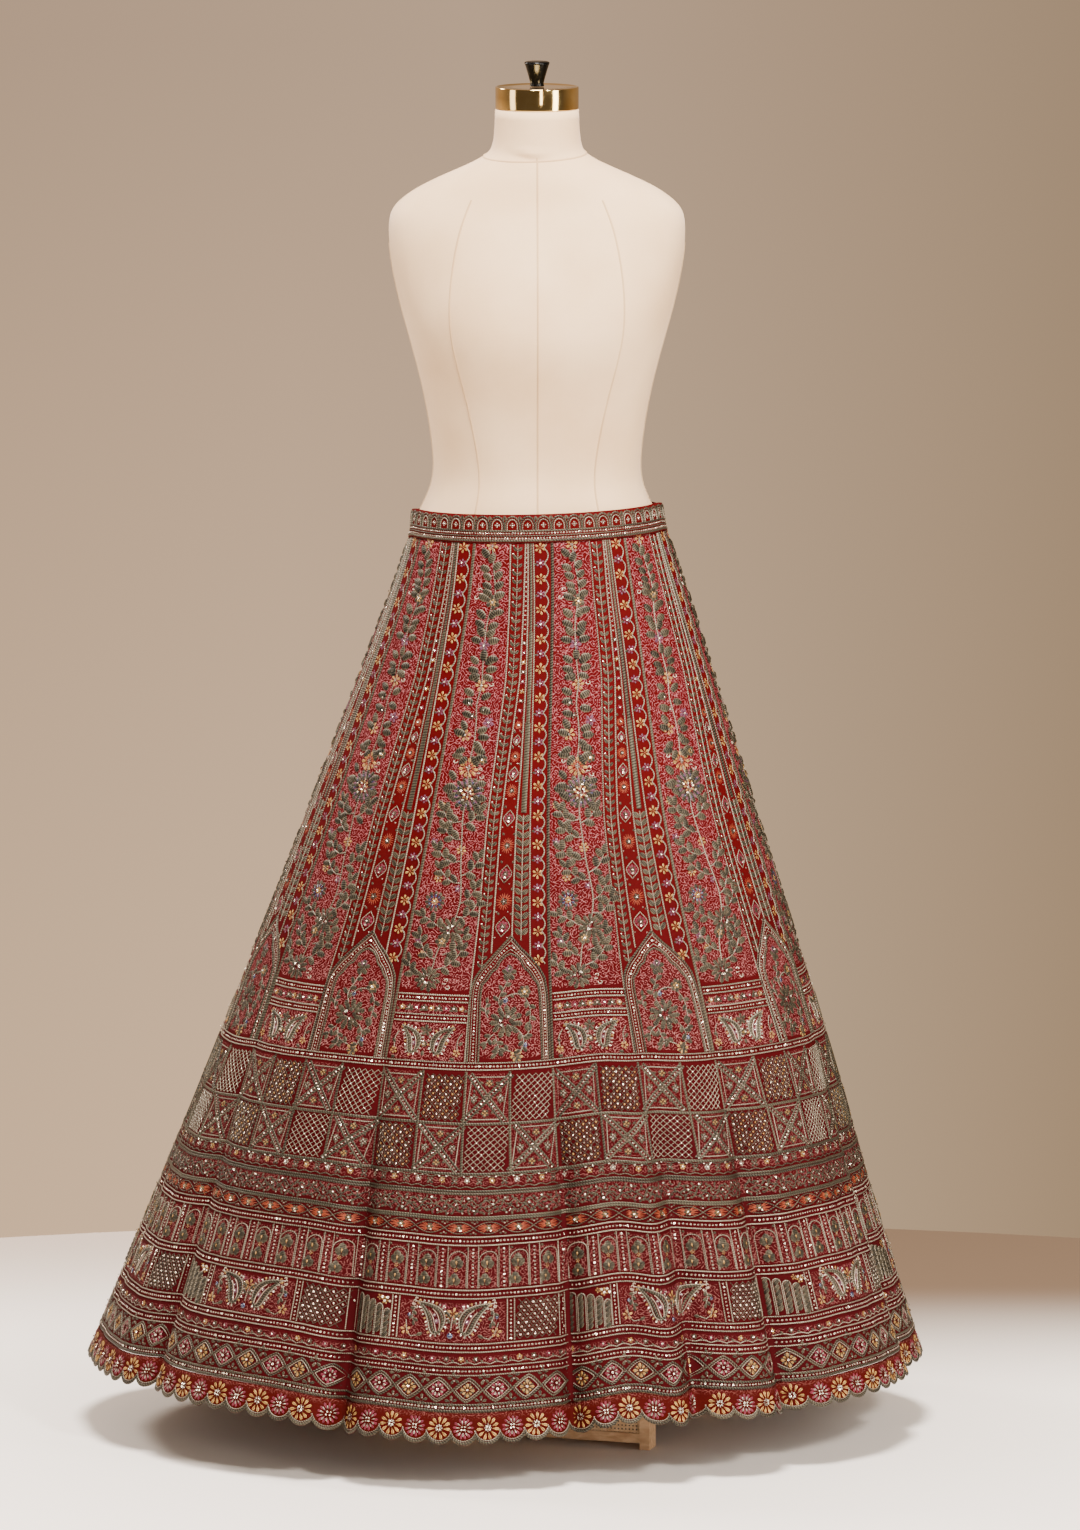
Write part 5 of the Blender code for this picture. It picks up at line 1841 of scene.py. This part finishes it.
def wood(name, dark, light):
    """Pale oiled teak: long straight grain with fine open pores."""
    material, shader = new_material(name)
    place = add(material, "ShaderNodeTexCoord").outputs["Object"]
    turned = add(material, "ShaderNodeMapping", Vector=place, Rotation=(0, 0, BASE_TURN),
                 Scale=(2.5, 30, 30))
    grain = add(material, "ShaderNodeTexNoise", Vector=turned.outputs["Vector"], Scale=6.0, Detail=6.0,
                Distortion=0.4)
    join(material, colour_steps(material, grain.outputs["Fac"], ((0.32, dark), (0.68, light))), shader,
         "Base Color")
    shader.inputs["Roughness"].default_value = 0.55
    bump(material, shader, grain.outputs["Fac"], 0.2, 0.0004)
    return material


def cane():
    """Woven cane webbing: pale strands with rows of open holes 4.4 mm apart, painted dark as painted shade.
    """
    material, shader = new_material("woven cane webbing")
    place = add(material, "ShaderNodeTexCoord").outputs["Object"]
    turned = add(material, "ShaderNodeMapping", Vector=place, Rotation=(0, 0, BASE_TURN))
    parts = add(material, "ShaderNodeSeparateXYZ", Vector=turned.outputs["Vector"])
    waves = []
    for side in ("X", "Z"):
        waves.append(maths(material, "SINE",
                           maths(material, "MULTIPLY", parts.outputs[side], 2 * math.pi / CANE_PITCH)))
    hole = maths(material, "MULTIPLY", maths(material, "MAXIMUM", waves[0], 0),
                 maths(material, "MAXIMUM", waves[1], 0))
    open_hole = add(material, "ShaderNodeMapRange", i0=hole, i1=0.18, i2=0.36).outputs[0]
    strand = add(material, "ShaderNodeTexNoise", Vector=place, Scale=300.0, Detail=3.0)
    base = colour_steps(material, strand.outputs["Fac"], ((0.3, "#B98F63"), (0.7, "#DDBB92")))
    # The holes are painted near black: painted shade for the dim inside of the base seen through them
    join(material, blend(material, open_hole, base, linear("#1A120C")), shader, "Base Color")
    shader.inputs["Roughness"].default_value = 0.6
    bump(material, shader, maths(material, "SUBTRACT", 1.0, open_hole), 0.6, 0.0012)
    return material


def dress(obj, *materials):
    obj.data.materials.clear()
    for material in materials:
        obj.data.materials.append(material)


dress(skirt, SILK, REVERSE)
dress(trim, TRIM_SILK, REVERSE)
dress(band, BAND_SILK, REVERSE)
for name, obj in works.items():
    dress(obj, FINISHES[name])
dress(torso, LINEN)
dress(form_seams, SEAM_LINEN)
dress(cap, brass())
dress(knob, lacquer("black lacquer", "#010101", "#030303", 0.28, 0.0))
PAINT = lacquer("black painted steel", "#141416", "#1E1E20", 0.45, 0.2)
WOOD = wood("pale oiled teak", "#B98D63", "#DDB78D")
CANE = cane()

CAD_FINISHES = {
    "form_pole": PAINT,
    "base_board": WOOD,
    **{f"base_post_{i}": WOOD for i in (1, 2, 3, 4)},
    "base_rail_front": WOOD,
    "base_rail_back": WOOD,
    "base_apron_left": WOOD,
    "base_apron_right": WOOD,
    "base_cane_front": CANE,
    "base_cane_back": CANE,
}
for name, material in CAD_FINISHES.items():
    node = bpy.data.objects[name]
    for slot in node.material_slots:
        slot.material = material
    if not node.material_slots:
        node.data.materials.append(material)


# Each piece and the CAD nodes it stands for, which are hidden, with a slot name; every piece rides on the
# root body

GORE_NODES = [f"gore_{i + 1}" for i in range(GORES)]
TRIM_NODES = [f"hem_trim_{i + 1}" for i in range(GORES)]
for obj, nodes, slot in (
    (skirt, GORE_NODES, "embroidered_silk"),
    (trim, TRIM_NODES, "trim_silk"),
    (band, ["waistband"], "embroidered_silk"),
    (torso, ["form_torso"], "form_linen"),
    (cap, ["form_cap"], "cap_brass"),
    (knob, ["form_knob"], "knob_lacquer"),
):
    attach(obj, "root")
    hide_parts(*nodes)
for obj in works.values():
    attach(obj, "root")
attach(form_seams, "root")


# Floor, backdrop light and lamps

# The form stands this far behind the middle of a round floor
FORM_BACK = 1.12
clear_selection()
bpy.ops.mesh.primitive_circle_add(vertices=128, radius=2.35, fill_type="TRIFAN",
                                  location=(AXIS.x, AXIS.y - FORM_BACK, -0.0005))
floor = bpy.context.object
floor.name = "floor"
floor_material, floor_shader = new_material("pale matt floor")
on_floor = add(floor_material, "ShaderNodeTexCoord").outputs["Object"]
spot = add(floor_material, "ShaderNodeSeparateXYZ", Vector=on_floor)
# Further back the floor blends to the backdrop's taupe, painted much darker on the right: painted shade
right = add(floor_material, "ShaderNodeMapRange", i0=spot.outputs["X"], i1=-0.4, i2=0.45).outputs[0]
near = maths(floor_material, "MULTIPLY_ADD", right, 0.32,
             maths(floor_material, "SUBTRACT", spot.outputs["Y"], FORM_BACK))
fade = add(floor_material, "ShaderNodeMapRange", {"interpolation_type": "SMOOTHSTEP"}, i0=near, i1=0.40,
           i2=1.15).outputs[0]
far = blend(floor_material, right, linear("#D0BEB0"), linear("#604D3B"))
join(floor_material, blend(floor_material, fade, linear("#F6EDE4"), far), floor_shader, "Base Color")
floor_shader.inputs["Roughness"].default_value = 0.6
# Painted light: the floor glows a little, dimmer towards the back, and the glow fades out under the skirt as
# a painted shadow
away = add(floor_material, "ShaderNodeVectorMath", {"operation": "DISTANCE"},
           Vector=on_floor, i1=(0.0, FORM_BACK, 0.0)).outputs["Value"]
outside_painted_shadow = add(floor_material, "ShaderNodeMapRange", {"interpolation_type": "SMOOTHSTEP"}, i0=away,
                 i1=0.42, i2=0.95)
painted_floor_glow = blend(floor_material, fade, linear("#FFF0E0"), linear("#3A2C20"))
painted_floor_glow = blend(floor_material, outside_painted_shadow.outputs[0], linear("#000000"), painted_floor_glow)
join(floor_material, painted_floor_glow, floor_shader, "Emission Color")
floor_shader.inputs["Emission Strength"].default_value = 0.62
dress(floor, floor_material)


def lamp(name, place, aim, size, power, colour, tall=None):
    """A soft lamp: a disc, or an upright strip where "tall" gives its height."""
    data = bpy.data.lights.new(name, "AREA")
    data.shape, data.size = ("RECTANGLE" if tall else "DISK"), size
    data.size_y = tall or size
    data.energy, data.color = power, linear(colour)[:3]
    obj = linked(name, data)
    obj.location = AXIS + Vector(place)
    obj.rotation_euler = (AXIS + Vector(aim) - obj.location).to_track_quat("-Z", "Y").to_euler()


lamp("key", (2.4, -3.8, 3.3), (0, 0, 0.75), 0.7, 245, "#FFF7EE")
lamp("strip right", (2.5, -1.9, 1.15), (0, 0, 0.8), 0.8, 84, "#FFF7EE", 2.2)
lamp("strip left", (-2.9, -1.0, 1.5), (0, 0, 1.3), 0.9, 24, "#FFF3E6", 1.8)
lamp("front", (1.0, -4.8, 1.7), (0, 0, 0.9), 0.5, 42, "#FFF3E6", 2.2)
lamp("top", (0.0, -1.2, 4.3), (0, -0.2, 0.5), 1.2, 470, "#FFF8F2")
lamp("rim left", (-2.4, 1.2, 2.4), (0, 0, 1.2), 0.8, 90, "#FFF4EA")

# The studio round it: a warm backdrop, lighter low on the left, and dimmer air in front
world = bpy.data.worlds.new("studio")
bpy.context.scene.world = world
world.use_nodes = True
background = world.node_tree.nodes["Background"]
way = add(world, "ShaderNodeTexCoord").outputs["Generated"]
parts = add(world, "ShaderNodeSeparateXYZ", Vector=way)
across = add(world, "ShaderNodeMapRange", i0=parts.outputs["X"], i1=-0.06, i2=0.06).outputs[0]
height = add(world, "ShaderNodeMapRange", i0=parts.outputs["Z"], i1=-0.21, i2=-0.08).outputs[0]
low = colour_steps(world, across,
                   ((0.0, "#F8D0A6"), (0.30, "#FFD6AC"), (0.75, "#C8AA88"), (1.0, "#AA8C6C")))
high = colour_steps(world, across, ((0.0, "#C4A487"), (0.45, "#CDAD90"), (1.0, "#A88D70")))
behind = blend(world, height, low, high)
facing = add(world, "ShaderNodeMapRange", i0=parts.outputs["Y"], i1=-0.3, i2=0.5).outputs[0]
world.node_tree.links.new(blend(world, facing, linear("#5C5248"), behind), background.inputs["Color"])
background.inputs["Strength"].default_value = 1.0
